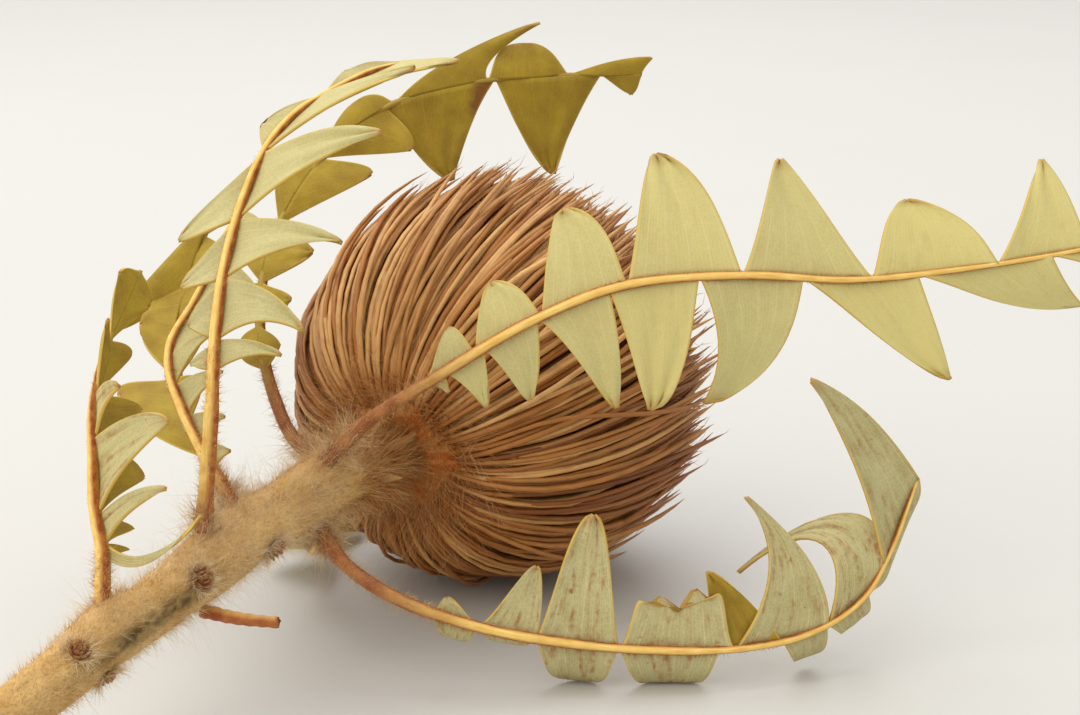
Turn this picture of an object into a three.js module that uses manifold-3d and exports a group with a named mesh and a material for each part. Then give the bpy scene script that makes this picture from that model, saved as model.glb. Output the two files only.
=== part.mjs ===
import * as THREE from 'three';
import { mergeVertices } from 'three/addons/utils/BufferGeometryUtils.js';
import Module from 'manifold-3d';

// A dried banksia flower head on its cut, leafy stem, lying on a flat surface.
// Millimetres, +Z up. The origin is the flattened spot under the head that it lies on.
// The stem comes in from the left and front, and the longest leaf runs along +X.

// Driving dimensions of the head
const HEAD_CENTRE = new THREE.Vector3(0, 0, 39);
const HEAD_AXIS = new THREE.Vector3(0.494, 0.855, 0.152).normalize();
const BASE_HEIGHT = -25;
const FLORET_ROWS = 36;
const FLORET_SIDES = 3;
const SWEEP_STEPS = 4;
const TIP_TWIST = 0.12;
const CORE_SHARE = 0.995;
const FLORET_FLATNESS = 0.6;
const FLORET_TIP = 0.35;
const FLORET_SPREAD = 0.55;
const FLORET_TAPER_START = 0.7;
const FLORET_SEED = 11;
const OPEN_FLORETS = 60;
const OPEN_FLORET_LENGTH = 11;
const OPEN_FLORET_RADIUS = 4.2;
const OPEN_FLORET_LEAN = 0.2;
const OPEN_ROOTS = { radius: 33, height: 29, lowest: 0.08 };
const HEAD_COLOR = 0x7a5f3c;
const HEAD_ROUGHNESS = 0.9;
const TABLE_WIDTH = 120;
const TABLE_DEPTH = 20;

// The sweep of a floret row round the head, as radius and height on the head's axis
const SWEEP = [[7, BASE_HEIGHT + 0.5], [24, -37.5], [40, -22], [40.5, 14]];

// The far dome of the head, a half ellipse covered with the tips of closed florets
const DOME = { radius: 36.5, foot: 4, height: 29.5, rows: 8, lift: 2.6 };

// Driving dimensions of the stem
const STEM_RADIUS_HEAD = 5.1;
const STEM_RADIUS_CUT = 4;
const STEM_SIDES = 10;
const STEM_STEPS = 14;
const STEM_COLOR = 0xa08a66;
const STEM_ROUGHNESS = 0.95;
const NECK_LENGTH = 9;
const KNOB_SUNK = 0.3;
const KNOB_SIDES = 7;
const KNOB_ROWS = 5;
const BRACTS = 7;
const BRACT_RADIUS = 1.1;
const BRACT_START = 44;
const BRACT_OUT = 4.2;
const BRACT_ALONG = 9;
const BRACT_PLACES = [0.88, 0.86];
const BRACT_SIDES = 4;
const BRACT_TAPER = 0.8;
const BRACT_FLATNESS = 0.6;

// Driving dimensions of the leaves
const BLADE = 0.8;
const LOBE_ROWS = 4;
const LOBE_TIP = 0.05;
const STALK_RADIUS = 2;
const RIB_RADIUS = 1.35;
const RIB_TIP = 0.5;
const RIB_SIDES = 6;
const RIB_STEPS = 12;
const LEAF_ROUGHNESS = 0.85;
const GAP = 0.3;

// The stem's centre line, from the cut end on the table up to the underside of the head
const STEM_POINTS = [
  [-93, -153, 4],
  [-80, -132.5, 13],
  [-68.3, -113, 20.5],
  [-60, -99, 23.8],
  [-48.6, -79, 27],
  [-33, -50, 32.2],
];

// Bud knobs: place along the stem, angle round it from the top, radius
const KNOBS = [
  [0.68, 120, 2.2],
  [0.55, 60, 2.1],
  [0.37, 36, 1.8],
  [0.4, 140, 1.7],
  [0.76, 150, 1.5],
  [0.47, -60, 1.8],
  [0.22, 20, 1.8],
];

// The stalk of a leaf that broke off, from inside the stem to its broken end
const BROKEN_RADII = [1.2, 0.95];
const BROKEN_STEPS = 3;
const BROKEN_STALK = [
  [-46.5, -80.5, 22.4],
  [-40, -83, 22],
  [-33.5, -84.5, 21.9],
];

// Each leaf has its midrib's points, the ways its underside faces from base to tip, and the share of the
// midrib that is bare stalk. On each side, every lobe has the share of the midrib where it ends, its
// length, its lean towards the leaf's tip, where its own tip lies across it (0 is the margin nearer the
// stem), the powers of its near and far margins (under 1 bulges, over 1 is hollow), how blunt its tip is,
// how far it bows back along the midrib halfway out, and the degrees that it folds and curls towards the
// upper face. One number holds for all lobes of a side. Side 1 is the midrib's direction crossed with the
// underside's.
const LEAVES = {
  leaf_right: {
    rib: [
      [-33, -49, 34], [-27, -47.5, 39.5], [-21.5, -47, 45], [-8, -49, 54.5], [8, -50, 64.5],
      [24, -50, 71], [45, -48, 72.5], [65, -45, 71], [85, -41, 72], [107.5, -36, 74.5],
      [122, -32, 77],
    ],
    underside: [[0.1, -0.95, 0.28], [0.1, -0.95, 0.25]],
    stalk: 0.18,
    side1: {
      ends: [0.2, 0.25, 0.315, 0.395, 0.49, 0.6, 0.725, 0.875, 1],
      length: [3.5, 9.5, 12.5, 20.5, 23, 24, 19, 13.5, 9],
      lean: [-0.25, -0.55, -0.5, -0.3, -0.1, -0.05, 0.4, 0.7, 0.6],
      tip: [0.9, 0.95, 0.8, 0.95, 0.45, 0.2, 0.95, 0.95, 0.8],
      near: [0.9, 0.9, 0.8, 0.8, 0.9, 1.3, 0.7, 0.6, 0.7],
      far: [0.4, 0.3, 0.4, 0.4, 0.4, 0.45, 0.7, 0.6, 0.7],
      blunt: [0, 0, 0.2, 0.1, 0.3, 0.2, 0, 0, 0],
      bow: [0, -0.2, -0.2, -0.2, -0.1, -0.4, 0, 0.2, 0],
      fold: 4,
      curl: [15, 15, 15, 15, 15, 30, 10, 70, 20],
    },
    side2: {
      ends: [0.24, 0.32, 0.415, 0.535, 0.675, 0.815, 0.92, 1],
      length: [6.5, 9.5, 16.5, 23.5, 22, 14, 18, 10],
      lean: [0.8, 0.5, 0.4, 0.2, 0.05, 0.25, 0.35, 0.6],
      tip: [0.3, 0.25, 0.2, 0.12, 0.25, 0.25, 0.4, 0.6],
      near: [0.5, 0.45, 0.35, 0.4, 0.6, 0.45, 0.9, 0.7],
      far: [0.8, 0.75, 0.7, 0.7, 1, 0.75, 0.9, 0.7],
      blunt: [0.3, 0.8, 1, 0.6, 0.1, 0.9, 0.1, 0],
      bow: [0, 0, 0, 0, -0.1, 0, -0.1, 0],
      fold: 4,
      curl: 20,
    },
    color: 0x9d9873,
  },
  leaf_floor: {
    rib: [
      [-31, -47, 32], [-29, -50.5, 25.5], [-24.5, -56, 21.5], [-15, -60, 16.5], [-0.5, -62, 12],
      [13.5, -62, 9.3], [28, -62, 7.9], [45.5, -60, 7.3], [58.5, -56, 8.7], [68, -52, 13.5],
      [73.5, -48, 21.5], [78.5, -44, 34],
    ],
    underside: [[0, -0.9, 0.4], [0.35, -0.9, 0.1]],
    stalk: 0.245,
    side1: {
      ends: [0.305, 0.38, 0.485, 0.615, 0.7, 0.765, 0.835, 1],
      length: [5, 2.5, 11, 11, 14, 9, 7, 4],
      lean: [0.1, 0.1, 0.1, 0.1, -0.2, 0.1, 0.1, 0.1],
      tip: [0.5, 0.5, 0.5, 0.5, 0.2, 0.5, 0.5, 0.5],
      near: [0.4, 0.4, 0.4, 0.4, 0.9, 0.4, 0.4, 0.4],
      far: [0.4, 0.4, 0.4, 0.4, 0.7, 0.4, 0.4, 0.4],
      blunt: 0.6,
      bow: 0,
      fold: [5, 5, 5, 5, 165, 5, 5, 5],
      curl: [85, 85, 85, 85, 10, 85, 85, 85],
    },
    side2: {
      ends: [0.305, 0.38, 0.485, 0.635, 0.765, 0.875, 1],
      length: [3.5, 12.5, 23, 9.5, 26.5, 25, 27],
      lean: [-0.5, -0.1, -0.05, 0.05, 0.2, -0.4, 0.6],
      tip: [0.4, 0.9, 0.6, 0.5, 0.15, 0.5, 0.6],
      near: [0.6, 0.7, 0.55, 0.12, 0.9, 1.1, 1.1],
      far: [0.6, 0.25, 0.5, 0.12, 1.5, 1.1, 0.9],
      blunt: [0, 0.2, 0.1, 0, 0.2, 0.3, 0.2],
      bow: [0, -0.2, 0, 0, -0.8, -1.8, -0.3],
      fold: -4,
      curl: [12, 12, 12, 12, 30, 110, 10],
    },
    color: 0x98926c,
  },
  leaf_tall: {
    rib: [
      [-46.5, -75, 28], [-46.6, -73.5, 34], [-45.6, -70, 46.5], [-45.1, -66.5, 55],
      [-45.1, -61, 63.5], [-44.4, -53, 74], [-42.3, -45, 83.5], [-39, -38, 92], [-34, -31, 98],
      [-27.5, -24, 101.5], [-21, -17, 104], [-16, -11, 104.5],
    ],
    underside: [[-0.5, -0.75, 0.4], [-0.4, -0.75, 0.5]],
    stalk: 0.295,
    side1: {
      ends: [0.342, 0.442, 0.545, 0.665, 0.82, 1],
      length: [12, 16, 20.5, 25, 17, 9],
      lean: [-0.15, -0.4, -0.1, 0.25, 0.6, 1.1],
      tip: [0.6, 0.6, 0.8, 0.8, 0.9, 0.8],
      near: [1, 1.1, 1.3, 1.1, 0.9, 0.6],
      far: 0.5,
      blunt: 0.15,
      bow: [-0.3, -0.5, -0.2, -0.3, -0.2, 0],
      fold: [0, 0, 0, -10, -20, -15],
      curl: [20, 20, 20, 10, 10, 10],
    },
    side2: {
      ends: [0.342, 0.442, 0.545, 0.665, 0.82, 1],
      length: [5, 6, 8, 10, 4, 3],
      lean: [-0.05, -0.1, -0.7, -1, -0.2, 0.3],
      tip: 0.35,
      near: 0.9,
      far: 0.5,
      blunt: 0.1,
      bow: 0.2,
      fold: -15,
      curl: 15,
    },
    color: 0x9d9870,
  },
  leaf_wrap: {
    rib: [
      [-26, -39.5, 33.5], [-36, -31, 37], [-40.5, -24, 43], [-43.5, -17, 51], [-44.5, -9, 59],
      [-42.5, 1, 69], [-36, 10, 80], [-28, 16, 88], [-18, 21, 93], [-4, 25, 96], [12, 28, 97],
      [31, 30, 97],
    ],
    underside: [[0.3, 0.9, -0.2], [0, 0.97, 0.2]],
    stalk: 0.2,
    side1: {
      ends: [0.265, 0.33, 0.42, 0.53, 0.66, 0.79, 0.9, 1],
      length: [6, 6, 7, 7, 4, 9, 7.5, 3.6],
      lean: [0.4, 0.6, 0.5, 0.8, 0.8, 1.7, -0.1, 1],
      tip: [0.5, 0.5, 0.5, 0.5, 0.5, 0.9, 0.5, 0.9],
      near: [0.5, 0.5, 0.5, 0.5, 0.5, 0.6, 0.4, 0.5],
      far: [0.5, 0.5, 0.5, 0.5, 0.5, 1.3, 0.4, 0.5],
      blunt: [0.5, 0.5, 0.5, 0.5, 0.5, 0.1, 0.6, 0.2],
      bow: [0, 0, 0, 0, 0, 1.8, 0, 0.5],
      fold: -10,
      curl: [-20, -20, -20, -20, -20, -10, -50, -20],
    },
    side2: {
      ends: [0.265, 0.33, 0.42, 0.53, 0.645, 0.8, 0.945, 1],
      length: [5, 8, 10, 11.5, 11, 18.5, 20, 4],
      lean: [-0.3, -0.2, 0, 0.7, 0.6, -0.1, 0, 0.5],
      tip: [0.5, 0.5, 0.5, 0.6, 0.5, 0.5, 0.5, 0.5],
      near: 0.75,
      far: [0.7, 0.7, 0.7, 0.7, 0.7, 1, 1, 0.7],
      blunt: 0.15,
      bow: [0, 0, 0, -0.2, -0.2, 0.2, 0.1, 0],
      fold: 8,
      curl: 15,
    },
    color: 0x8d8350,
  },
  leaf_bent: {
    rib: [
      [-41, -65, 30], [-44, -62, 37], [-48.5, -56, 42], [-53, -50, 48.5], [-56, -45, 54.5],
      [-56, -40, 59], [-53, -35, 64], [-50.5, -30, 69], [-48.5, -25, 74], [-46, -20, 78.5],
    ],
    underside: [[-0.3, -0.9, 0.2], [-0.4, -0.8, 0.3]],
    stalk: 0.19,
    side1: {
      ends: [0.28, 0.36, 0.445, 0.53, 0.67, 0.85, 1],
      length: [4, 6, 9, 8, 9, 10, 6],
      lean: [-0.6, -0.3, 0.05, 0.5, 0.4, -0.1, 0.2],
      tip: 0.6,
      near: 1,
      far: 0.5,
      blunt: 0.1,
      bow: -0.3,
      fold: 5,
      curl: 15,
    },
    side2: {
      ends: [0.3, 0.42, 0.55, 0.7, 0.85, 1],
      length: [6, 9, 11, 11, 9, 6],
      lean: [0.1, 0, 0.2, 0.1, 0.15, 0],
      tip: 0.6,
      near: 1,
      far: 0.5,
      blunt: 0.1,
      bow: -0.3,
      fold: 40,
      curl: 30,
    },
    color: 0x9a946c,
  },
  leaf_shade: {
    rib: [
      [-41, -60, 30.5], [-46, -55, 35.5], [-51, -44, 38.5], [-56, -31, 43], [-59.5, -19, 48.5],
      [-60.5, -8, 54.5], [-59, 2, 62], [-56.5, 10, 69.5], [-52.5, 16, 76.5],
    ],
    underside: [[0.1, 0.95, -0.4], [0.1, 0.95, -0.2]],
    stalk: 0.21,
    side1: {
      ends: [0.48, 0.75, 1],
      length: [11, 7, 9.5],
      lean: [0.9, 0.4, -2.4],
      tip: [0.6, 0.4, 0.3],
      near: [0.45, 0.45, 0.6],
      far: [0.5, 0.5, 0.6],
      blunt: [0.8, 0.6, 0.3],
      bow: [0, 0, 0.6],
      fold: 10,
      curl: 25,
    },
    side2: {
      ends: [0.34, 0.48, 0.62, 0.75, 0.87, 1],
      length: [4, 5, 7, 7, 6, 4],
      lean: [-0.3, 0, 0.1, 0, 0.1, 0.2],
      tip: 0.5,
      near: 0.6,
      far: 0.6,
      blunt: 0.2,
      bow: -0.2,
      fold: 10,
      curl: 15,
    },
    color: 0x857b48,
  },
  leaf_near: {
    rib: [
      [-59.5, -98.5, 23.5], [-59.5, -95, 31], [-59.3, -93, 37], [-61, -89, 43], [-62, -84, 51.5],
      [-62.5, -79, 58.5], [-61.5, -74, 65], [-60, -69, 70.5], [-57, -64, 77],
    ],
    underside: [[-0.7, -0.7, 0.1], [-0.7, -0.7, 0.1], [-0.8, -0.5, 0.2], [-0.9, 0.4, 0], [-0.4, 0.9, 0]],
    stalk: 0.21,
    side1: {
      ends: [0.25, 0.325, 0.52, 0.64, 0.79, 1],
      length: [18, 15, 17.5, 9.5, 6, 4.5],
      lean: [0.15, 0.05, 0.25, 0.15, 0.8, 0.5],
      tip: [0.5, 0.5, 0.6, 0.6, 0.6, 0.6],
      near: [1, 0.9, 0.9, 0.9, 0.9, 0.9],
      far: [1, 0.5, 0.5, 0.5, 0.6, 0.6],
      blunt: 0.1,
      bow: [0.9, -0.3, -0.3, -0.3, -0.2, 0],
      fold: 5,
      curl: [40, 20, 20, 20, 20, 20],
    },
    side2: {
      ends: [0.25, 0.325, 0.52, 0.64, 0.79, 1],
      length: [5, 7, 10, 8, 5.5, 4],
      lean: [0.1, 0.1, 0.1, 0.3, 0.8, 0.5],
      tip: 0.5,
      near: 0.8,
      far: 0.5,
      blunt: 0.1,
      bow: -0.2,
      fold: [60, 60, 60, 60, 10, 5],
      curl: [30, 30, 30, 30, 15, 10],
    },
    color: 0x99936a,
  },
  leaf_under: {
    rib: [
      [-24, -36.5, 33.5], [-28.5, -31, 24], [-33, -20, 13.5], [-35.5, -5, 7], [-35, 14, 5.5],
      [-30, 34, 6], [-21, 54, 7.5], [-8, 72, 10], [4, 84, 14],
    ],
    underside: [[-0.3, -0.6, -0.7], [0, 0.1, -1]],
    stalk: 0.14,
    side1: {
      ends: [0.26, 0.4, 0.54, 0.69, 0.845, 1],
      length: [6, 10, 13, 14, 12, 8],
      lean: [0.05, 0.15, 0.1, 0, 0.2, 0.1],
      tip: 0.5,
      near: 0.7,
      far: 0.6,
      blunt: 0.2,
      bow: 0,
      fold: -8,
      curl: -35,
    },
    side2: {
      ends: [0.26, 0.4, 0.54, 0.69, 0.845, 1],
      length: [3, 4, 7, 11, 11, 8],
      lean: [0.1, 0, 0.15, 0.1, 0.05, 0.2],
      tip: 0.5,
      near: 0.7,
      far: 0.6,
      blunt: 0.2,
      bow: 0,
      fold: -8,
      curl: -35,
    },
    color: 0x857b48,
  },
};

const wasm = await Module();
wasm.setup();

// A repeatable stream of numbers from 0 to 1
function seeded(seed) {
  let state = seed;
  return () => {
    state = (state + 0x6d2b79f5) | 0;
    let mixed = Math.imul(state ^ (state >>> 15), 1 | state);
    mixed = (mixed + Math.imul(mixed ^ (mixed >>> 7), 61 | mixed)) ^ mixed;
    return ((mixed ^ (mixed >>> 14)) >>> 0) / 4294967296;
  };
}

function vector([x, y, z]) {
  return new THREE.Vector3(x, y, z);
}

function spline(points) {
  return new THREE.CatmullRomCurve3(points.map(vector), false, 'centripetal');
}

// Solids for joining and cutting, made from closed geometry and turned back into it
function solid(geometry) {
  const bare = geometry.clone();
  bare.deleteAttribute('normal');
  bare.deleteAttribute('uv');
  const merged = mergeVertices(bare, 1e-4);
  const vertProperties = new Float32Array(merged.getAttribute('position').array);
  const triVerts = new Uint32Array(merged.getIndex().array);
  return new wasm.Manifold(new wasm.Mesh({ numProp: 3, vertProperties, triVerts }));
}

function largestBody(joined) {
  return joined.decompose().reduce((best, body) => (body.volume() > best.volume() ? body : best));
}

function joinAll(geometries) {
  return geometries.map(solid).reduce((joined, next) => joined.add(next));
}

function meshOf(name, body, color, roughness) {
  const { vertProperties, triVerts } = body.getMesh();
  const geometry = new THREE.BufferGeometry();
  geometry.setAttribute('position', new THREE.BufferAttribute(new Float32Array(vertProperties), 3));
  geometry.setIndex(new THREE.BufferAttribute(new Uint32Array(triVerts), 1));
  geometry.computeVertexNormals();
  const mesh = new THREE.Mesh(geometry, new THREE.MeshStandardMaterial({ color, roughness, metalness: 0 }));
  mesh.name = name;
  return mesh;
}

// The frame carried along a path: along it, outward as asked, and across both
function frameAt(path, u, facing) {
  const along = path.getTangentAt(u);
  const outward = facing(u).addScaledVector(along, -along.dot(facing(u))).normalize();
  const across = new THREE.Vector3().crossVectors(along, outward);
  return { along, outward, across };
}

// A closed bar whose section follows a path; its flatness squeezes it in the outward direction
function bentBar(path, sides, steps, radiusAt, facing, flatness = 1) {
  const bar = new THREE.CylinderGeometry(1, 1, 1, sides, steps);
  const place = bar.getAttribute('position');
  for (let i = 0; i < place.count; i += 1) {
    const u = place.getY(i) + 0.5;
    const { outward, across } = frameAt(path, u, facing);
    const point = path.getPointAt(u);
    point.addScaledVector(across, radiusAt(u) * place.getX(i));
    point.addScaledVector(outward, radiusAt(u) * flatness * place.getZ(i));
    place.setXYZ(i, point.x, point.y, point.z);
  }
  return bar;
}

// The grid corners round a sheet, counter-clockwise
function rimOf(columns, rows) {
  const rim = [];
  const corner = (column, row) => row * (columns + 1) + column;
  for (let i = 0; i < columns; i += 1) rim.push(corner(i, rows));
  for (let i = rows; i > 0; i -= 1) rim.push(corner(columns, i));
  for (let i = columns; i > 0; i -= 1) rim.push(corner(i, 0));
  for (let i = 0; i < rows; i += 1) rim.push(corner(0, i));
  return rim;
}

// A closed sheet of even thickness: both faces share one grid, and the rim joins them
function blade(surface, columns, rows) {
  const sheet = new THREE.PlaneGeometry(1, 1, columns, rows);
  const place = sheet.getAttribute('position');
  for (let i = 0; i < place.count; i += 1) {
    const point = surface(place.getX(i) + 0.5, place.getY(i) + 0.5);
    place.setXYZ(i, point.x, point.y, point.z);
  }
  sheet.computeVertexNormals();
  const normal = sheet.getAttribute('normal');
  const corners = [];
  for (const offset of [BLADE / 2, -BLADE / 2]) {
    for (let i = 0; i < place.count; i += 1) {
      const point = new THREE.Vector3().fromBufferAttribute(place, i);
      point.addScaledVector(new THREE.Vector3().fromBufferAttribute(normal, i), offset);
      corners.push(point.x, point.y, point.z);
    }
  }
  const faces = [];
  const below = place.count;
  const grid = sheet.getIndex();
  for (let i = 0; i < grid.count; i += 3) {
    const [a, b, c] = [grid.getX(i), grid.getX(i + 1), grid.getX(i + 2)];
    faces.push(a, b, c, a + below, c + below, b + below);
  }
  const rim = rimOf(columns, rows);
  rim.forEach((p, i) => {
    const q = rim[(i + 1) % rim.length];
    faces.push(p, p + below, q + below, p, q + below, q);
  });
  const closed = new THREE.BufferGeometry();
  closed.setAttribute('position', new THREE.Float32BufferAttribute(corners, 3));
  closed.setIndex(faces);
  return closed;
}

// The stem: a bent woody bar with bud knobs, a broken leaf stalk and bracts under the head
const stemTop = HEAD_CENTRE.clone().addScaledVector(HEAD_AXIS, BASE_HEIGHT - GAP);
const stemNeck = stemTop.clone().addScaledVector(HEAD_AXIS, -NECK_LENGTH);
const stemPath = spline([...STEM_POINTS, stemNeck.toArray(), stemTop.toArray()]);
const upward = () => new THREE.Vector3(0, 0, 1);

function stemRadius(u) {
  return THREE.MathUtils.lerp(STEM_RADIUS_CUT, STEM_RADIUS_HEAD, u);
}

function stemBar(extra) {
  return bentBar(stemPath, STEM_SIDES, STEM_STEPS, (u) => stemRadius(u) + extra, upward);
}

function onStem(u, degrees, lift) {
  const { outward, across } = frameAt(stemPath, u, upward);
  const angle = THREE.MathUtils.degToRad(degrees);
  const away = outward.multiplyScalar(Math.cos(angle)).addScaledVector(across, Math.sin(angle));
  return { away, point: stemPath.getPointAt(u).addScaledVector(away, stemRadius(u) + lift) };
}

function knob([u, degrees, radius]) {
  const { point } = onStem(u, degrees, -KNOB_SUNK * radius);
  return new THREE.SphereGeometry(radius, KNOB_SIDES, KNOB_ROWS).translate(point.x, point.y, point.z);
}

// A narrow bract that leaves the stem at a low angle and lies along it towards the head
function bract(index) {
  const place = BRACT_PLACES[index % BRACT_PLACES.length];
  const along = stemPath.getTangentAt(place);
  const { away, point: foot } = onStem(place, BRACT_START + (360 / BRACTS) * index, -BRACT_RADIUS);
  const tip = foot.clone().addScaledVector(away, BRACT_OUT).addScaledVector(along, BRACT_ALONG);
  const radiusAt = (u) => BRACT_RADIUS * (1 - BRACT_TAPER * u);
  const path = new THREE.LineCurve3(foot, tip);
  return bentBar(path, BRACT_SIDES, 1, radiusAt, () => away.clone(), BRACT_FLATNESS);
}

function makeStem() {
  const brokenRadius = (u) => THREE.MathUtils.lerp(...BROKEN_RADII, u);
  const broken = bentBar(spline(BROKEN_STALK), RIB_SIDES, BROKEN_STEPS, brokenRadius, upward);
  const bracts = Array.from({ length: BRACTS }, (_, i) => bract(i));
  const body = joinAll([stemBar(0), ...KNOBS.map(knob), broken, ...bracts]);
  return meshOf('stem', largestBody(body), STEM_COLOR, STEM_ROUGHNESS);
}

// The head's own frame: its axis, the way down from it, and sideways
const headDown = new THREE.Vector3(0, 0, -1).addScaledVector(HEAD_AXIS, HEAD_AXIS.z).normalize();
const headSide = new THREE.Vector3().crossVectors(HEAD_AXIS, headDown);

function headRadial(turn) {
  return headDown.clone().multiplyScalar(Math.cos(turn)).addScaledVector(headSide, Math.sin(turn));
}

function inHead(turn, radius, height) {
  return HEAD_CENTRE.clone().addScaledVector(headRadial(turn), radius).addScaledVector(HEAD_AXIS, height);
}

function domePoint(row) {
  const rise = (Math.PI / 2) * (row / DOME.rows);
  return new THREE.Vector2(DOME.radius * Math.cos(rise), DOME.foot + DOME.height * Math.sin(rise));
}

// The core that carries the florets, turned about the head's axis: it lies just under their sweep,
// and every second corner of its dome is lifted into the tip of a closed floret
function core() {
  const corners = SWEEP.map(([r, h]) => new THREE.Vector2(r, h));
  const under = new THREE.CubicBezierCurve(...corners).getSpacedPoints(SWEEP_STEPS).slice(0, -1);
  const profile = [
    new THREE.Vector2(0, BASE_HEIGHT),
    ...under.map((point) => point.multiplyScalar(CORE_SHARE)),
    ...Array.from({ length: DOME.rows + 1 }, (_, row) => domePoint(row)),
  ];
  profile.at(-1).x = 0;
  const lathe = new THREE.LatheGeometry(profile, FLORET_ROWS, Math.PI / FLORET_ROWS);
  const place = lathe.getAttribute('position');
  const firstLifted = profile.length - DOME.rows;
  for (let i = 0; i < place.count; i += 1) {
    const row = i % profile.length;
    const column = Math.floor(i / profile.length);
    if (row < firstLifted || row === profile.length - 1 || (row + column) % 2) continue;
    const point = new THREE.Vector3().fromBufferAttribute(place, i);
    point.setLength(point.length() + DOME.lift);
    place.setXYZ(i, point.x, point.y, point.z);
  }
  const upright = new THREE.Matrix4().makeBasis(headSide, HEAD_AXIS, headDown);
  return lathe.applyMatrix4(upright.setPosition(HEAD_CENTRE));
}

// A row of florets that starts in the core, sweeps round the head and ends in a free point
function sweptFloret(turn, twist) {
  const turns = [turn, turn, turn, turn + twist];
  const path = new THREE.CubicBezierCurve3(...SWEEP.map(([r, h], i) => inHead(turns[i], r, h)));
  const radiusAt = (u) => {
    const offset = path.getPointAt(u).sub(HEAD_CENTRE);
    const spacing = (2 * Math.PI * offset.dot(headRadial(turn))) / FLORET_ROWS;
    const taper = THREE.MathUtils.smoothstep(u, FLORET_TAPER_START, 1);
    return THREE.MathUtils.lerp(FLORET_SPREAD * spacing, FLORET_TIP, taper);
  };
  const outwardAt = (u) => path.getPointAt(u).sub(HEAD_CENTRE);
  return bentBar(path, FLORET_SIDES, SWEEP_STEPS, radiusAt, outwardAt, FLORET_FLATNESS);
}

// An open floret on the far dome: a pointed tuft that stands out from the core
function openFloret(index) {
  const share = (index + 0.5) / OPEN_FLORETS;
  const tilt = Math.acos(THREE.MathUtils.lerp(OPEN_ROOTS.lowest, 1, share));
  const turn = index * Math.PI * (3 - Math.sqrt(5));
  const foot = inHead(turn, OPEN_ROOTS.radius * Math.sin(tilt), OPEN_ROOTS.height * Math.cos(tilt));
  const away = headRadial(turn).multiplyScalar(Math.sin(tilt));
  away.addScaledVector(HEAD_AXIS, Math.cos(tilt) + OPEN_FLORET_LEAN);
  const path = new THREE.LineCurve3(foot, foot.clone().addScaledVector(away.normalize(), OPEN_FLORET_LENGTH));
  const radiusAt = (u) => THREE.MathUtils.lerp(OPEN_FLORET_RADIUS, FLORET_TIP, u * u);
  return bentBar(path, FLORET_SIDES, 1, radiusAt, () => headSide.clone());
}

function makeHead() {
  const random = seeded(FLORET_SEED);
  const pieces = [core()];
  for (let row = 0; row < FLORET_ROWS; row += 1) {
    const turn = (2 * Math.PI * row) / FLORET_ROWS;
    pieces.push(sweptFloret(turn, TIP_TWIST * (random() - 0.5)));
  }
  for (let index = 0; index < OPEN_FLORETS; index += 1) pieces.push(openFloret(index));
  const table = new THREE.BoxGeometry(TABLE_WIDTH, TABLE_WIDTH, TABLE_DEPTH);
  table.translate(0, 0, -TABLE_DEPTH / 2);
  const body = joinAll(pieces).subtract(solid(table));
  return meshOf('flower_head', largestBody(body), HEAD_COLOR, HEAD_ROUGHNESS);
}

// One lobe of a leaf: a tapered tongue from the midrib that folds and curls towards the upper face
function lobe(rib, facing, side, shape) {
  const { along, outward, across } = frameAt(rib, (shape.start + shape.end) / 2, facing);
  const fold = THREE.MathUtils.degToRad(shape.fold);
  const curl = THREE.MathUtils.degToRad(shape.curl);
  const margin = (b, power) => THREE.MathUtils.lerp((1 - b ** (1 + shape.blunt)) ** power, 1, LOBE_TIP);
  const surface = (a, b) => {
    const near = shape.tip * (1 - margin(b, shape.near));
    const far = THREE.MathUtils.lerp(shape.tip, 1, margin(b, shape.far));
    const u = THREE.MathUtils.lerp(shape.start, shape.end, THREE.MathUtils.lerp(near, far, a));
    const reach = (shape.length * (Math.sin(fold + curl * b) - Math.sin(fold))) / curl;
    const lift = (shape.length * (Math.cos(fold) - Math.cos(fold + curl * b))) / curl;
    const point = rib.getPointAt(u);
    point.addScaledVector(across, side * reach);
    point.addScaledVector(outward, -lift);
    point.addScaledVector(along, shape.length * (shape.lean * b + shape.bow * (b * b - b)));
    point.z = Math.max(point.z, BLADE);
    return point;
  };
  return blade(surface, 1, LOBE_ROWS);
}

// The lobes of one side, each with its own value from a list or with the side's one value
function lobesOf(leaf, side) {
  return side.ends.map((end, i) => {
    const own = Object.entries(side).map(([key, value]) => [key, Array.isArray(value) ? value[i] : value]);
    return { ...Object.fromEntries(own), start: i ? side.ends[i - 1] : leaf.stalk, end };
  });
}

function makeLeaf(name, leaf, stemRoom) {
  const rib = spline(leaf.rib);
  const ways = leaf.underside.map(vector);
  const facing = (u) => {
    const place = u * (ways.length - 1);
    const first = Math.min(Math.floor(place), ways.length - 2);
    return ways[first].clone().lerp(ways[first + 1], place - first);
  };
  const ribRadius = (u) => {
    const stalk = THREE.MathUtils.lerp(STALK_RADIUS, RIB_RADIUS, Math.min(u / leaf.stalk, 1));
    return THREE.MathUtils.lerp(stalk, RIB_TIP, Math.max((u - leaf.stalk) / (1 - leaf.stalk), 0));
  };
  const pieces = [bentBar(rib, RIB_SIDES, RIB_STEPS, ribRadius, facing)];
  for (const shape of lobesOf(leaf, leaf.side1)) pieces.push(lobe(rib, facing, 1, shape));
  for (const shape of lobesOf(leaf, leaf.side2)) pieces.push(lobe(rib, facing, -1, shape));
  const body = joinAll(pieces).subtract(stemRoom);
  return meshOf(name, largestBody(body), leaf.color, LEAF_ROUGHNESS);
}

const banksia = new THREE.Group();
banksia.add(makeStem(), makeHead());
const stemRoom = solid(stemBar(GAP));
for (const [name, leaf] of Object.entries(LEAVES)) banksia.add(makeLeaf(name, leaf, stemRoom));

export default banksia;
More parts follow.
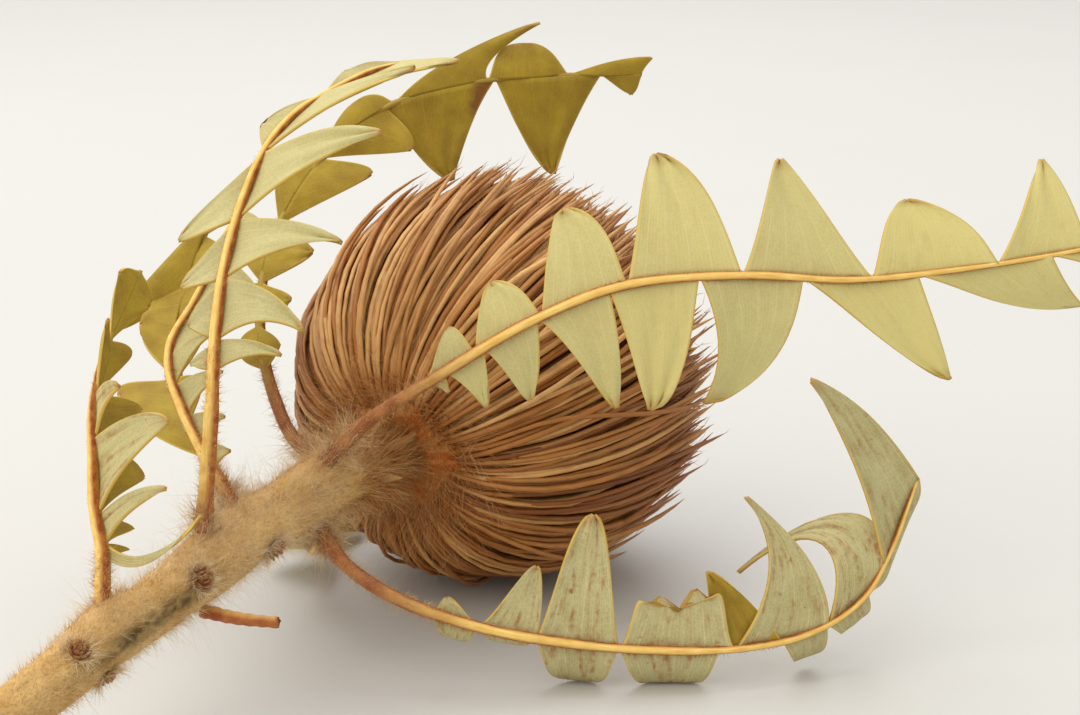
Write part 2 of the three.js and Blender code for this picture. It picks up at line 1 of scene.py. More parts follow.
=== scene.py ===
# %% [markdown]
# # A dried banksia head on its cut, leafy stem
#
# The real thing is a ball of stiff brown florets that sweep round from a woolly base, on a stem that
# was cut and laid down, with eight long leaves whose lobes stand along the midrib like saw teeth.
# Every shape below is a formula worked out with numpy, in millimetres, in the frame of the packed
# solids, so that each fine piece lies where its solid is and keeps that solid's form.

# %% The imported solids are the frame
import math

import bpy
import numpy as np
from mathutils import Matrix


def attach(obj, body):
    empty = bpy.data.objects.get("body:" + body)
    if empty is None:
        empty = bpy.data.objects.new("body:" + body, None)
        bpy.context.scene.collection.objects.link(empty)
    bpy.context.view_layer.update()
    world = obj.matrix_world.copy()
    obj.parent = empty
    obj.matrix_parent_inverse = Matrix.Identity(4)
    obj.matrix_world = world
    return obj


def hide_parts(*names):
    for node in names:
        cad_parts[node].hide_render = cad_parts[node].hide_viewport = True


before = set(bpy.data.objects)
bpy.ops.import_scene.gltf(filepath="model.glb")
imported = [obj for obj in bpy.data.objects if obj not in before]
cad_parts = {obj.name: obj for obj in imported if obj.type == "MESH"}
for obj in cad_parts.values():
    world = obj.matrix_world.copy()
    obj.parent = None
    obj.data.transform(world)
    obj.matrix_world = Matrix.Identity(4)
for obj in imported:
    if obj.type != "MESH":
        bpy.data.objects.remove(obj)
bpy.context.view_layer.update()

MM = 0.001
print("solids:", sorted(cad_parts))

# %% [markdown]
# ## Where we stand
#
# The camera looks along +Y from a little above the stem, 15 degrees down, with a lens that is long
# enough to keep the near stem from looking swollen. It comes first, because every later choice of
# size and detail is judged through it.

# %% Camera
CAMERA_PLACE = (0.0100, -0.4332, 0.1608)
CAMERA_TILT = math.radians(75)
CAMERA_LENS, SENSOR_WIDTH = 75, 36
camera_data = bpy.data.cameras.new("camera")
camera_data.lens = CAMERA_LENS
camera_data.sensor_width = SENSOR_WIDTH
camera = bpy.data.objects.new("camera", camera_data)
camera.location = CAMERA_PLACE
camera.rotation_euler = (CAMERA_TILT, 0, 0)
bpy.context.scene.collection.objects.link(camera)
bpy.context.scene.camera = camera
print("camera looks down by", 90 - math.degrees(CAMERA_TILT), "degrees")

# %% [markdown]
# ## Colours and finishes
#
# A finish is a small tree of nodes round one Principled shader. A tone could be given to the shader in
# linear light, but that is hard to read, so colours are written as they look on a screen and made
# linear here.

# %% Colours and empty finishes
def colour(text):
    """A screen colour such as 'c8b070' as linear light: ((c + 0.055) / 1.055) to the power 2.4."""
    screen = np.array([int(text[i : i + 2], 16) for i in (0, 2, 4)]) / 255
    linear = np.where(screen <= 0.04045, screen / 12.92, ((screen + 0.055) / 1.055) ** 2.4)
    return (*linear.tolist(), 1.0)


def new_finish(name, roughness, specular):
    """An empty finish: the material, its node tree and its shader."""
    material = bpy.data.materials.new(name)
    material.use_nodes = True
    shader = material.node_tree.nodes["Principled BSDF"]
    shader.inputs["Roughness"].default_value = roughness
    shader.inputs["Specular IOR Level"].default_value = specular
    return material, material.node_tree, shader


print("white reads", colour("ffffff")[0], "and mid grey reads", round(colour("808080")[0], 3))

# %% [markdown]
# ## Helpers for nodes
#
# Each helper below makes one or two nodes and returns the socket that comes out. A finish could be put
# together by hand in the shader editor, but written down this way it can be read from top to bottom,
# and every number in it can be changed and tried again.

# %% Node helpers
def add(tree, kind, inputs=(), **settings):
    """One node of a finish; its inputs are numbers, colours or the sockets of other nodes."""
    made = tree.nodes.new("ShaderNode" + kind)
    for key, value in settings.items():
        setattr(made, key, value)
    for key, value in dict(inputs).items():
        if isinstance(value, bpy.types.NodeSocket):
            tree.links.new(value, made.inputs[key])
        else:
            made.inputs[key].default_value = value
    return made


def mix(tree, share, first, second):
    """first where share is 0, second where it is 1."""
    return add(tree, "Mix", {0: share, 6: first, 7: second}, data_type="RGBA").outputs[2]


def fade(tree, value, low, high, start=0.0, end=1.0):
    """start below low, end above high, and a straight line between them."""
    return add(tree, "MapRange", {0: value, 1: low, 2: high, 3: start, 4: end}).outputs[0]


def tones(tree, value, low, high, first, second):
    """The first screen colour below low, the second above high, and a straight mix between them."""
    return mix(tree, fade(tree, value, low, high), colour(first), colour(second))


def math_of(tree, operation, *values):
    """A sum, product or other operation on one or two numbers."""
    return add(tree, "Math", dict(enumerate(values)), operation=operation).outputs[0]


def carried(tree, name):
    """The three numbers of a vector that the piece carries on its points."""
    vector = add(tree, "Attribute", attribute_name=name).outputs["Vector"]
    return vector, add(tree, "SeparateXYZ", {0: vector}).outputs


def noise(tree, scale, detail=3.0, vector=None):
    """Soft noise from 0 to 1; without a vector it lies still in the piece's own space."""
    if vector is None:
        vector = add(tree, "TexCoord").outputs["Object"]
    return add(tree, "TexNoise", {"Vector": vector, "Scale": scale, "Detail": detail}).outputs["Fac"]


def stretched(tree, vector, scale):
    """A vector times three numbers, to draw a pattern out along one of them."""
    return add(tree, "VectorMath", {0: vector, 1: scale}, operation="MULTIPLY").outputs[0]


def set_bump(tree, shader, height, depth, strength=1.0):
    """Tilts the shading by a height from 0 to 1 that stands for depth millimetres."""
    bump = add(tree, "Bump", {"Height": height, "Distance": depth * MM, "Strength": strength})
    tree.links.new(bump.outputs[0], shader.inputs["Normal"])


helpers = [add, mix, fade, tones, math_of, carried, noise, stretched, set_bump]
print("node helpers:", [helper.__name__ for helper in helpers])

# %% [markdown]
# ## Floor and light
#
# The stem lies on a plain pale table in a bright room. A broad lamp hangs high, a little behind and to
# the left, so it lights the top of the head and the shadows fall softly to the front and right. A
# weaker one from the front and a white surrounding fill them.

# %% Floor and light
FLOOR_HALF, FLOOR_DROP = 6.0, 0.0002
floor_mesh = bpy.data.meshes.new("floor")
square = ((-1, -1), (1, -1), (1, 1), (-1, 1))
floor_corners = [(x * FLOOR_HALF, y * FLOOR_HALF, -FLOOR_DROP) for x, y in square]
floor_mesh.from_pydata(floor_corners, [], [(0, 1, 2, 3)])
floor = bpy.data.objects.new("floor", floor_mesh)
bpy.context.scene.collection.objects.link(floor)
floor_finish, tree, shader = new_finish("pale table", roughness=0.6, specular=0.2)
table_tone = mix(tree, noise(tree, 6.0), colour("cdccc8"), colour("d1d0cc"))
tree.links.new(table_tone, shader.inputs["Base Color"])
floor_mesh.materials.append(floor_finish)


def lamp(name, place, size, power, tone=(1.0, 1.0, 1.0), aim=(0, 0, 0.04)):
    """A square lamp that faces a point on the object."""
    data = bpy.data.lights.new(name, "AREA")
    data.size = size
    data.energy = power
    data.color = tone
    made = bpy.data.objects.new(name, data)
    made.location = place
    away = made.location - type(made.location)(aim)
    made.rotation_euler = away.to_track_quat("Z", "Y").to_euler()
    bpy.context.scene.collection.objects.link(made)


lamp("window", place=(-0.2, 0.6, 1.35), size=1.8, power=18.0)
lamp("front", place=(-0.8, -0.7, 0.9), size=1.4, power=8.5, tone=(1.0, 0.93, 0.8))
ROOM_TONE, ROOM_STRENGTH = (1.0, 0.985, 0.96, 1.0), 0.72
world = bpy.data.worlds.new("bright room")
world.use_nodes = True
room = world.node_tree.nodes["Background"]
room.inputs["Color"].default_value = ROOM_TONE
room.inputs["Strength"].default_value = ROOM_STRENGTH
bpy.context.scene.world = world
bpy.context.scene.view_settings.view_transform = "Standard"

# %% [markdown]
# ## Paths
#
# Stem, midribs, florets and hairs are all profiles carried along a path. A Catmull-Rom curve passes
# through every point it is given, which makes it the right choice when the points were read off a
# real plant. Walking it at an even pace lets one share of the length mean the same everywhere.

# %% Path helpers
PATH_SAMPLES, STRETCH_SAMPLES = 1500, 60
NUDGE = 0.004


def unit(v):
    """Vectors scaled to length 1."""
    return v / np.linalg.norm(v, axis=-1, keepdims=True)


def smooth_path(points):
    """Each stretch is a cubic whose end slopes come from the neighbouring points, weighted by the
    square root of their distances; the curve is then sampled at equal lengths."""
    p = np.asarray(points, float)
    p = np.vstack([2 * p[0] - p[1], p, 2 * p[-1] - p[-2]])
    step = np.diff(p, axis=0)
    gap = np.sqrt(np.linalg.norm(step, axis=1))[:, None]
    before, here, after = gap[:-2], gap[1:-1], gap[2:]
    leave = here * (step[:-2] / before - (p[2:-1] - p[:-3]) / (before + here) + step[1:-1] / here)
    arrive = here * (step[1:-1] / here - (p[3:] - p[1:-2]) / (here + after) + step[2:] / after)
    s = np.linspace(0, 1, STRETCH_SAMPLES)[None, :, None]
    curve = (2 * s**3 - 3 * s**2 + 1) * p[1:-2, None] + (3 * s**2 - 2 * s**3) * p[2:-1, None]
    curve = curve + (s**3 - 2 * s**2 + s) * leave[:, None] + (s**3 - s**2) * arrive[:, None]
    curve = curve.reshape(-1, 3)
    length = np.r_[0, np.cumsum(np.linalg.norm(np.diff(curve, axis=0), axis=1))]
    even = np.linspace(0, length[-1], PATH_SAMPLES)
    return np.stack([np.interp(even, length, curve[:, k]) for k in range(3)], axis=-1)


def on_path(path, u):
    """The points at shares u of the path's length."""
    share = np.linspace(0, 1, len(path))
    return np.stack([np.interp(u, share, path[:, k]) for k in range(3)], axis=-1)


def frame_along(path, u, facing):
    """Along the path, outward as asked but square to it, and across both."""
    ahead = on_path(path, np.minimum(u + NUDGE, 1))
    along = unit(ahead - on_path(path, np.maximum(u - NUDGE, 0)))
    outward = unit(facing - along * np.sum(along * facing, axis=-1, keepdims=True))
    return along, outward, np.cross(along, outward)


quarter = smooth_path([(math.cos(t), math.sin(t), 0) for t in np.linspace(0, math.pi / 2, 7)])
quarter_steps = np.linalg.norm(np.diff(quarter, axis=0), axis=1)
print("a quarter circle comes out", round(quarter_steps.sum(), 4), "long")

# %% [markdown]
# ## From arrays to pieces
#
# A shell is an array of points, arrays of faces, and the numbers that its points carry for the
# finish. One function closes rings of points into shells, and one makes tubes of them, thousands at a
# time if need be. Whole arrays are worked out at once, because a loop over every point would take
# minutes.

# %% Shells
def ring_shells(points):
    """Rings of points as closed shells: four-cornered walls between the rings and a cap at each end.
    The last places of the array are rings, sides and x, y, z; a place before them counts shells."""
    sides = points.shape[-2]
    index = np.arange(points[..., 0].size).reshape(points.shape[:-1])
    turn = np.roll(index, -1, axis=-1)
    corners = [index[..., :-1, :], turn[..., :-1, :], turn[..., 1:, :], index[..., 1:, :]]
    walls = np.stack(corners, axis=-1).reshape(-1, 4)
    first, last = index[..., 0, ::-1], index[..., -1, :]
    return points.reshape(-1, 3), [walls, first.reshape(-1, sides), last.reshape(-1, sides)]


def tubes(paths, across, outward, wide, deep, sides):
    """Closed tubes: path + wide * cos(angle) * across + deep * sin(angle) * outward, round each ring.
    The arrays are tubes by rings, with points in the last place. Also gives each point's angle."""
    angle = np.arange(sides) * 2 * np.pi / sides
    ring = wide[..., None, None] * np.cos(angle)[:, None] * across[..., None, :]
    ring = ring + deep[..., None, None] * np.sin(angle)[:, None] * outward[..., None, :]
    return *ring_shells(paths[..., None, :] + ring), angle


pipe_points, pipe_faces = ring_shells(np.zeros((2, 6, 3)))
print("a pipe of two rings has", len(pipe_points), "points and", sum(map(len, pipe_faces)), "faces")

# %% [markdown]
# ## Pieces
#
# A piece is one object made of many shells. Blender could be asked to recalculate the normals of each
# piece, but a closed shell tells it by itself: its volume comes out below nothing when its faces look
# inward, and its faces are then turned round. So no shell is left inside out.

# %% Pieces
def volume(points, faces):
    """A sixth of the sum of a . (b x c) over the triangles that fan out from a face's first corner."""
    total = 0.0
    for group in faces:
        for k in range(1, group.shape[1] - 1):
            a, b, c = points[group[:, 0]], points[group[:, k]], points[group[:, k + 1]]
            total += np.sum(a * np.cross(b, c)) / 6
    return total


def carry(mesh, name, values):
    """Puts one number or one vector on each point."""
    kind = ("FLOAT", "value") if values.ndim == 1 else ("FLOAT_VECTOR", "vector")
    layer = mesh.attributes.new(name, kind[0], "POINT")
    layer.data.foreach_set(kind[1], values.astype(np.float32).ravel())


def piece(name, shells, finish, stands_for=None):
    """One object from shells of (points in mm, face arrays, carried numbers), facing outward."""
    corners, polygons, start = [], [], 0
    for points, faces, _ in shells:
        order = 1 if volume(points - points.mean(axis=0), faces) > 0 else -1
        polygons += [face for group in faces for face in (group[:, ::order] + start).tolist()]
        corners.append(points)
        start += len(points)
    mesh = bpy.data.meshes.new(name)
    mesh.from_pydata(np.concatenate(corners) * MM, [], polygons)
    mesh.polygons.foreach_set("use_smooth", np.ones(len(polygons), bool))
    for key in shells[0][2]:
        carry(mesh, key, np.concatenate([numbers[key] for _, _, numbers in shells]))
    mesh.materials.append(finish)
    made = bpy.data.objects.new(name, mesh)
    bpy.context.scene.collection.objects.link(made)
    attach(made, "root")
    if stands_for:
        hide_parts(stands_for)
    print(name, len(corners), "shells,", sum(len(p) - 2 for p in polygons), "triangles")


def vectors(*columns):
    """Columns of numbers side by side, stretched to one shape and listed point by point."""
    return np.stack([c.ravel() for c in np.broadcast_arrays(*columns)], axis=-1).astype(float)


print("vectors lists", vectors(np.zeros(4), 1.0).shape, "numbers for four points")

# %% [markdown]
# ## The stem's line
#
# The stem rises from its cut end on the table to the base of the head. Its points repeat those of
# the solid. The last stretch runs along the head's own axis, as the head sits square on its stem.

# %% Head axis and stem path
HEAD_CENTRE = np.array([0, 0, 39.0])
HEAD_AXIS = unit(np.array([0.494, 0.855, 0.152]))
BASE_HEIGHT = -25.0
UP = np.array([0, 0, 1.0])
STEM_POINTS = [(-93, -153, 4.0), (-80, -132.5, 13), (-68.3, -113, 20.5)]
STEM_POINTS += [(-60, -99, 23.8), (-48.6, -79, 27), (-33, -50, 32.2)]
STEM_RADII = (4.0, 5.1)
NECK_LENGTH, STEM_IN_HEAD = 9.0, 1
NECK_START, NECK_NARROWING = 0.9, 0.12
stem_top = HEAD_CENTRE + HEAD_AXIS * (BASE_HEIGHT + STEM_IN_HEAD)
neck_foot = stem_top - HEAD_AXIS * (NECK_LENGTH + STEM_IN_HEAD)
stem_path = smooth_path([*STEM_POINTS, neck_foot, stem_top])
random = np.random.default_rng(7)


def around_stem(u, degrees):
    """The centre of the stem at u, and the direction away from it, in degrees from the top towards
    the right."""
    along, outward, across = frame_along(stem_path, u, UP)
    turn = np.radians(degrees)[..., None]
    return on_path(stem_path, u), along, np.cos(turn) * outward + np.sin(turn) * across


def stem_radius(u):
    """A straight line from the radius at the cut to the one at the head, less where florets hide it."""
    straight = STEM_RADII[0] + (STEM_RADII[1] - STEM_RADII[0]) * u
    hidden = np.clip((u - NECK_START) / (1 - NECK_START), 0, 1)
    return straight * (1 - NECK_NARROWING * hidden**2)


print("stem length in mm:", round(np.linalg.norm(np.diff(stem_path, axis=0), axis=1).sum()))

# %% [markdown]
# ## The leaves' numbers
#
# Each leaf is a midrib with lobes on both sides. The rib's points, the way its underside faces and the
# lobes' values repeat the solid's. On each side every lobe has the share of the rib where it ends, its
# length, its lean towards the leaf's tip, where its own tip lies across it (0 is the margin nearer the
# stem), the powers of its near and far margins, how blunt it is, how it bows like a sickle, and the
# degrees that it folds and curls. A list gives each lobe its own value, and one number holds for the
# whole side. The stain is how brown the blade has dried, and the warmth is how yellow it is.

# %% [markdown]
# ## The leaves in front
#
# Two leaves lie in front of the head with their felted undersides towards us. One crosses it to the
# right on a rib that waves a little. The other drops to the table, runs along it and turns up at its
# end; one of its lobes is torn off short, and a scrap is folded over behind it. A leaf could be a
# cut-out card, but each lobe catches the light at its own angle, so each is listed by itself.

# %% The leaves in front
LEAVES = {}
LEAVES["leaf_right"] = dict(
    rib=[(-33, -49, 34), (-27, -47.5, 39.5), (-21.5, -47, 45), (-8, -49, 54.5), (8, -50, 64.5),
         (24, -50, 71), (45, -48, 72.5), (65, -45, 71), (85, -41, 72), (107.5, -36, 74.5),
         (122, -32, 77)],
    underside=((0.1, -0.95, 0.28), (0.1, -0.95, 0.25)),
    stalk=0.18, stain=0.15, rust=0.2, warmth=0.8,
    side1=dict(
        ends=[0.2, 0.25, 0.315, 0.395, 0.49, 0.6, 0.725, 0.875, 1],
        length=[3.5, 9.5, 12.5, 20.5, 23, 24, 19, 13.5, 9],
        lean=[-0.25, -0.55, -0.5, -0.3, -0.1, -0.05, 0.4, 0.7, 0.6],
        tip=[0.9, 0.95, 0.8, 0.95, 0.45, 0.2, 0.95, 0.95, 0.8],
        near=[0.9, 0.9, 0.8, 0.8, 0.9, 1.3, 0.7, 0.6, 0.7],
        far=[0.4, 0.3, 0.4, 0.4, 0.4, 0.45, 0.7, 0.6, 0.7],
        blunt=[0, 0, 0.2, 0.1, 0.3, 0.2, 0, 0, 0],
        bow=[0, -0.2, -0.2, -0.2, -0.1, -0.4, 0, 0.2, 0],
        fold=4, curl=[15, 15, 15, 15, 15, 30, 10, 70, 20]),
    side2=dict(
        ends=[0.24, 0.32, 0.415, 0.535, 0.675, 0.815, 0.92, 1],
        length=[6.5, 9.5, 16.5, 23.5, 22, 14, 18, 10],
        lean=[0.8, 0.5, 0.4, 0.2, 0.05, 0.25, 0.35, 0.6],
        tip=[0.3, 0.25, 0.2, 0.12, 0.25, 0.25, 0.4, 0.6],
        near=[0.5, 0.45, 0.35, 0.4, 0.6, 0.45, 0.9, 0.7],
        far=[0.8, 0.75, 0.7, 0.7, 1, 0.75, 0.9, 0.7],
        blunt=[0.3, 0.8, 1, 0.6, 0.1, 0.9, 0.1, 0],
        bow=[0, 0, 0, 0, -0.1, 0, -0.1, 0],
        fold=4, curl=20),
)
LEAVES["leaf_floor"] = dict(
    rib=[(-31, -47, 32), (-29, -50.5, 25.5), (-24.5, -56, 21.5), (-15, -60, 16.5), (-0.5, -62, 12),
         (13.5, -62, 9.3), (28, -62, 7.9), (45.5, -60, 7.3), (58.5, -56, 8.7), (68, -52, 13.5),
         (73.5, -48, 21.5), (78.5, -44, 34)],
    underside=((0, -0.9, 0.4), (0.35, -0.9, 0.1)),
    stalk=0.245, stain=1.1, rust=0.24, warmth=0.05,
    side1=dict(
        ends=[0.305, 0.38, 0.485, 0.615, 0.7, 0.765, 0.835, 1],
        length=[5, 2.5, 11, 11, 14, 9, 7, 4],
        lean=[0.1, 0.1, 0.1, 0.1, -0.2, 0.1, 0.1, 0.1],
        near=[0.4, 0.4, 0.4, 0.4, 0.9, 0.4, 0.4, 0.4],
        far=[0.4, 0.4, 0.4, 0.4, 0.7, 0.4, 0.4, 0.4],
        tip=[0.5, 0.5, 0.5, 0.5, 0.2, 0.5, 0.5, 0.5],
        blunt=0.6, bow=0,
        fold=[5, 5, 5, 5, 165, 5, 5, 5], curl=[85, 85, 85, 85, 10, 85, 85, 85]),
    side2=dict(
        ends=[0.305, 0.38, 0.485, 0.635, 0.765, 0.875, 1],
        length=[3.5, 12.5, 23, 9.5, 26.5, 25, 27],
        lean=[-0.5, -0.1, -0.05, 0.05, 0.2, -0.4, 0.6],
        tip=[0.4, 0.9, 0.6, 0.5, 0.15, 0.5, 0.6],
        near=[0.6, 0.7, 0.55, 0.12, 0.9, 1.1, 1.1],
        far=[0.6, 0.25, 0.5, 0.12, 1.5, 1.1, 0.9],
        blunt=[0, 0.2, 0.1, 0, 0.2, 0.3, 0.2],
        bow=[0, -0.2, 0, 0, -0.8, -1.8, -0.3],
        torn=[0, 0, 0, 0.3, 0, 0, 0],
        fold=-4, curl=[12, 12, 12, 12, 30, 110, 10]),
)
print("listed so far:", list(LEAVES))

# %% [markdown]
# ## The leaves that arch over the head
#
# The tall leaf rises from the stem and arches to the right, thin because we look along its blade. The
# other goes round behind the head and shows its olive upper face above it, with one dry, scorched lobe.
# Both turn as they rise, so the way the underside faces is given at the base and at the tip.

# %% The leaves that arch over the head
LEAVES["leaf_tall"] = dict(
    rib=[(-46.5, -75, 28), (-46.6, -73.5, 34), (-45.6, -70, 46.5), (-45.1, -66.5, 55),
         (-45.1, -61, 63.5), (-44.4, -53, 74), (-42.3, -45, 83.5), (-39, -38, 92), (-34, -31, 98),
         (-27.5, -24, 101.5), (-21, -17, 104), (-16, -11, 104.5)],
    underside=((-0.5, -0.75, 0.4), (-0.4, -0.75, 0.5)),
    stalk=0.295, stain=0.12, rust=0.1, warmth=0.25,
    side1=dict(
        ends=[0.342, 0.442, 0.545, 0.665, 0.82, 1],
        length=[12, 16, 20.5, 25, 17, 9],
        lean=[-0.15, -0.4, -0.1, 0.25, 0.6, 1.1],
        tip=[0.6, 0.6, 0.8, 0.8, 0.9, 0.8],
        near=[1, 1.1, 1.3, 1.1, 0.9, 0.6],
        bow=[-0.3, -0.5, -0.2, -0.3, -0.2, 0],
        far=0.5, blunt=0.15, fold=[0, 0, 0, -10, -20, -15], curl=[20, 20, 20, 10, 10, 10]),
    side2=dict(
        ends=[0.342, 0.442, 0.545, 0.665, 0.82, 1],
        length=[5, 6, 8, 10, 4, 3],
        lean=[-0.05, -0.1, -0.7, -1, -0.2, 0.3],
        tip=0.35, near=0.9, far=0.5, blunt=0.1, bow=0.2, fold=-15, curl=15),
)
LEAVES["leaf_wrap"] = dict(
    rib=[(-26, -39.5, 33.5), (-36, -31, 37), (-40.5, -24, 43), (-43.5, -17, 51), (-44.5, -9, 59),
         (-42.5, 1, 69), (-36, 10, 80), (-28, 16, 88), (-18, 21, 93), (-4, 25, 96), (12, 28, 97),
         (31, 30, 97)],
    underside=((0.3, 0.9, -0.2), (0, 0.97, 0.2)),
    stalk=0.2, stain=0.3, rust=0.2, warmth=0.5,
    side1=dict(
        ends=[0.265, 0.33, 0.42, 0.53, 0.66, 0.79, 0.9, 1],
        length=[6, 6, 7, 7, 4, 9, 7.5, 3.6],
        lean=[0.4, 0.6, 0.5, 0.8, 0.8, 1.7, -0.1, 1],
        tip=[0.5, 0.5, 0.5, 0.5, 0.5, 0.9, 0.5, 0.9],
        near=[0.5, 0.5, 0.5, 0.5, 0.5, 0.6, 0.4, 0.5],
        far=[0.5, 0.5, 0.5, 0.5, 0.5, 1.3, 0.4, 0.5],
        blunt=[0.5, 0.5, 0.5, 0.5, 0.5, 0.1, 0.6, 0.2],
        bow=[0, 0, 0, 0, 0, 1.8, 0, 0.5],
        fold=-10, curl=[-20, -20, -20, -20, -20, -10, -50, -20]),
    side2=dict(
        ends=[0.265, 0.33, 0.42, 0.53, 0.645, 0.8, 0.945, 1],
        length=[5, 8, 10, 11.5, 11, 18.5, 20, 4],
        lean=[-0.3, -0.2, 0, 0.7, 0.6, -0.1, 0, 0.5],
        tip=[0.5, 0.5, 0.5, 0.6, 0.5, 0.5, 0.5, 0.5],
        bow=[0, 0, 0, -0.2, -0.2, 0.2, 0.1, 0],
        scorch=[0, 0, 0, 0, 0, 0.45, 0, 0],
        near=0.75, far=[0.7, 0.7, 0.7, 0.7, 0.7, 1, 1, 0.7], blunt=0.15, fold=8, curl=15),
)
print("listed so far:", list(LEAVES))

# %% [markdown]
# ## The leaves at the left
#
# One leaf bends like an S beside the tall one, and an olive one stands in the shade behind it. Much of
# both is hidden, so one number serves for a whole side wherever the lobes can't be told apart.

# %% The leaves at the left
LEAVES["leaf_bent"] = dict(
    rib=[(-41, -65, 30), (-44, -62, 37), (-48.5, -56, 42), (-53, -50, 48.5), (-56, -45, 54.5),
         (-56, -40, 59), (-53, -35, 64), (-50.5, -30, 69), (-48.5, -25, 74), (-46, -20, 78.5)],
    underside=((-0.3, -0.9, 0.2), (-0.4, -0.8, 0.3)),
    stalk=0.19, stain=0.2, rust=0.14, warmth=0.3,
    side1=dict(
        ends=[0.28, 0.36, 0.445, 0.53, 0.67, 0.85, 1],
        length=[4, 6, 9, 8, 9, 10, 6],
        lean=[-0.6, -0.3, 0.05, 0.5, 0.4, -0.1, 0.2],
        tip=0.6, near=1, far=0.5, blunt=0.1, bow=-0.3, fold=5, curl=15),
    side2=dict(
        ends=[0.3, 0.42, 0.55, 0.7, 0.85, 1],
        length=[6, 9, 11, 11, 9, 6],
        lean=[0.1, 0, 0.2, 0.1, 0.15, 0],
        tip=0.6, near=1, far=0.5, blunt=0.1, bow=-0.3, fold=40, curl=30),
)
LEAVES["leaf_shade"] = dict(
    rib=[(-41, -60, 30.5), (-46, -55, 35.5), (-51, -44, 38.5), (-56, -31, 43), (-59.5, -19, 48.5),
         (-60.5, -8, 54.5), (-59, 2, 62), (-56.5, 10, 69.5), (-52.5, 16, 76.5)],
    underside=((0.1, 0.95, -0.4), (0.1, 0.95, -0.2)),
    stalk=0.21, stain=0.2, rust=0.2, warmth=0.4,
    side1=dict(
        ends=[0.48, 0.75, 1],
        length=[11, 7, 9.5],
        lean=[0.9, 0.4, -2.4],
        tip=[0.6, 0.4, 0.3],
        near=[0.45, 0.45, 0.6],
        far=[0.5, 0.5, 0.6],
        blunt=[0.8, 0.6, 0.3],
        bow=[0, 0, 0.6], fold=10, curl=25),
    side2=dict(
        ends=[0.34, 0.48, 0.62, 0.75, 0.87, 1],
        length=[4, 5, 7, 7, 6, 4],
        lean=[-0.3, 0, 0.1, 0, 0.1, 0.2],
        tip=0.5, near=0.6, far=0.6, blunt=0.2, bow=-0.2, fold=10, curl=15),
)
print("listed so far:", list(LEAVES))

# %% [markdown]
# ## The leaf at the cut end and the one underneath
#
# The leaf nearest to the cut twists so far that its upper face shows at the top, which takes five
# directions instead of two. The last one lies under the head and shows only an edge; its lobes curl
# down to the table, so their curl is negative.

# %% The leaf at the cut end and the one underneath
LEAVES["leaf_near"] = dict(
    rib=[(-59.5, -98.5, 23.5), (-59.5, -95, 31), (-59.3, -93, 37), (-61, -89, 43),
         (-62, -84, 51.5), (-62.5, -79, 58.5), (-61.5, -74, 65), (-60, -69, 70.5), (-57, -64, 77)],
    underside=((-0.7, -0.7, 0.1), (-0.7, -0.7, 0.1), (-0.8, -0.5, 0.2), (-0.9, 0.4, 0),
               (-0.4, 0.9, 0)),
    stalk=0.21, stain=1.15, rust=0.1, warmth=0.4,
    side1=dict(
        ends=[0.25, 0.325, 0.52, 0.64, 0.79, 1],
        length=[18, 15, 17.5, 9.5, 6, 4.5],
        lean=[0.15, 0.05, 0.25, 0.15, 0.8, 0.5],
        tip=[0.5, 0.5, 0.6, 0.6, 0.6, 0.6],
        near=[1, 0.9, 0.9, 0.9, 0.9, 0.9],
        far=[1, 0.5, 0.5, 0.5, 0.6, 0.6],
        bow=[0.9, -0.3, -0.3, -0.3, -0.2, 0],
        blunt=0.1, fold=5, curl=[40, 20, 20, 20, 20, 20]),
    side2=dict(
        ends=[0.25, 0.325, 0.52, 0.64, 0.79, 1],
        length=[5, 7, 10, 8, 5.5, 4],
        lean=[0.1, 0.1, 0.1, 0.3, 0.8, 0.5],
        tip=0.5, near=0.8, far=0.5, blunt=0.1, bow=-0.2,
        fold=[60, 60, 60, 60, 10, 5], curl=[30, 30, 30, 30, 15, 10]),
)
LEAVES["leaf_under"] = dict(
    rib=[(-24, -36.5, 33.5), (-28.5, -31, 24), (-33, -20, 13.5), (-35.5, -5, 7), (-35, 14, 5.5),
         (-30, 34, 6), (-21, 54, 7.5), (-8, 72, 10), (4, 84, 14)],
    underside=((-0.3, -0.6, -0.7), (0, 0.1, -1)),
    stalk=0.14, stain=0.35, rust=0.14, warmth=0.4,
    side1=dict(
        ends=[0.26, 0.4, 0.54, 0.69, 0.845, 1],
        length=[6, 10, 13, 14, 12, 8],
        lean=[0.05, 0.15, 0.1, 0, 0.2, 0.1],
        tip=0.5, near=0.7, far=0.6, blunt=0.2, bow=0, fold=-8, curl=-35),
    side2=dict(
        ends=[0.26, 0.4, 0.54, 0.69, 0.845, 1],
        length=[3, 4, 7, 11, 11, 8],
        lean=[0.1, 0, 0.15, 0.1, 0.05, 0.2],
        tip=0.5, near=0.7, far=0.6, blunt=0.2, bow=0, fold=-8, curl=-35),
)
print("listed so far:", list(LEAVES))

# %% [markdown]
# ## Reading the leaves' numbers
#
# Two helpers turn the lists into what the next steps need: the direction of the underside anywhere
# along the rib, as a function, and every lobe by itself with its own value from each list.

# %% Reading the leaves' numbers
def facing_of(leaf):
    """The way the underside faces, turning evenly between the directions listed from base to tip."""
    ways = np.array(leaf["underside"], float)
    places = np.linspace(0, 1, len(ways))
    return lambda u: np.stack([np.interp(u, places, ways[:, k]) for k in range(3)], axis=-1)


def lobes_of(leaf):
    """Every lobe of a leaf with the sign of its side, its own values and its stretch of the rib."""
    for sign, side in ((1, leaf["side1"]), (-1, leaf["side2"])):
        for i, start in enumerate([leaf["stalk"], *side["ends"][:-1]]):
            own = {key: value[i] if isinstance(value, list) else value for key, value in side.items()}
            yield sign, dict(own, start=start, end=own["ends"])


print("lobes to make:", sum(1 for leaf in LEAVES.values() for _ in lobes_of(leaf)))

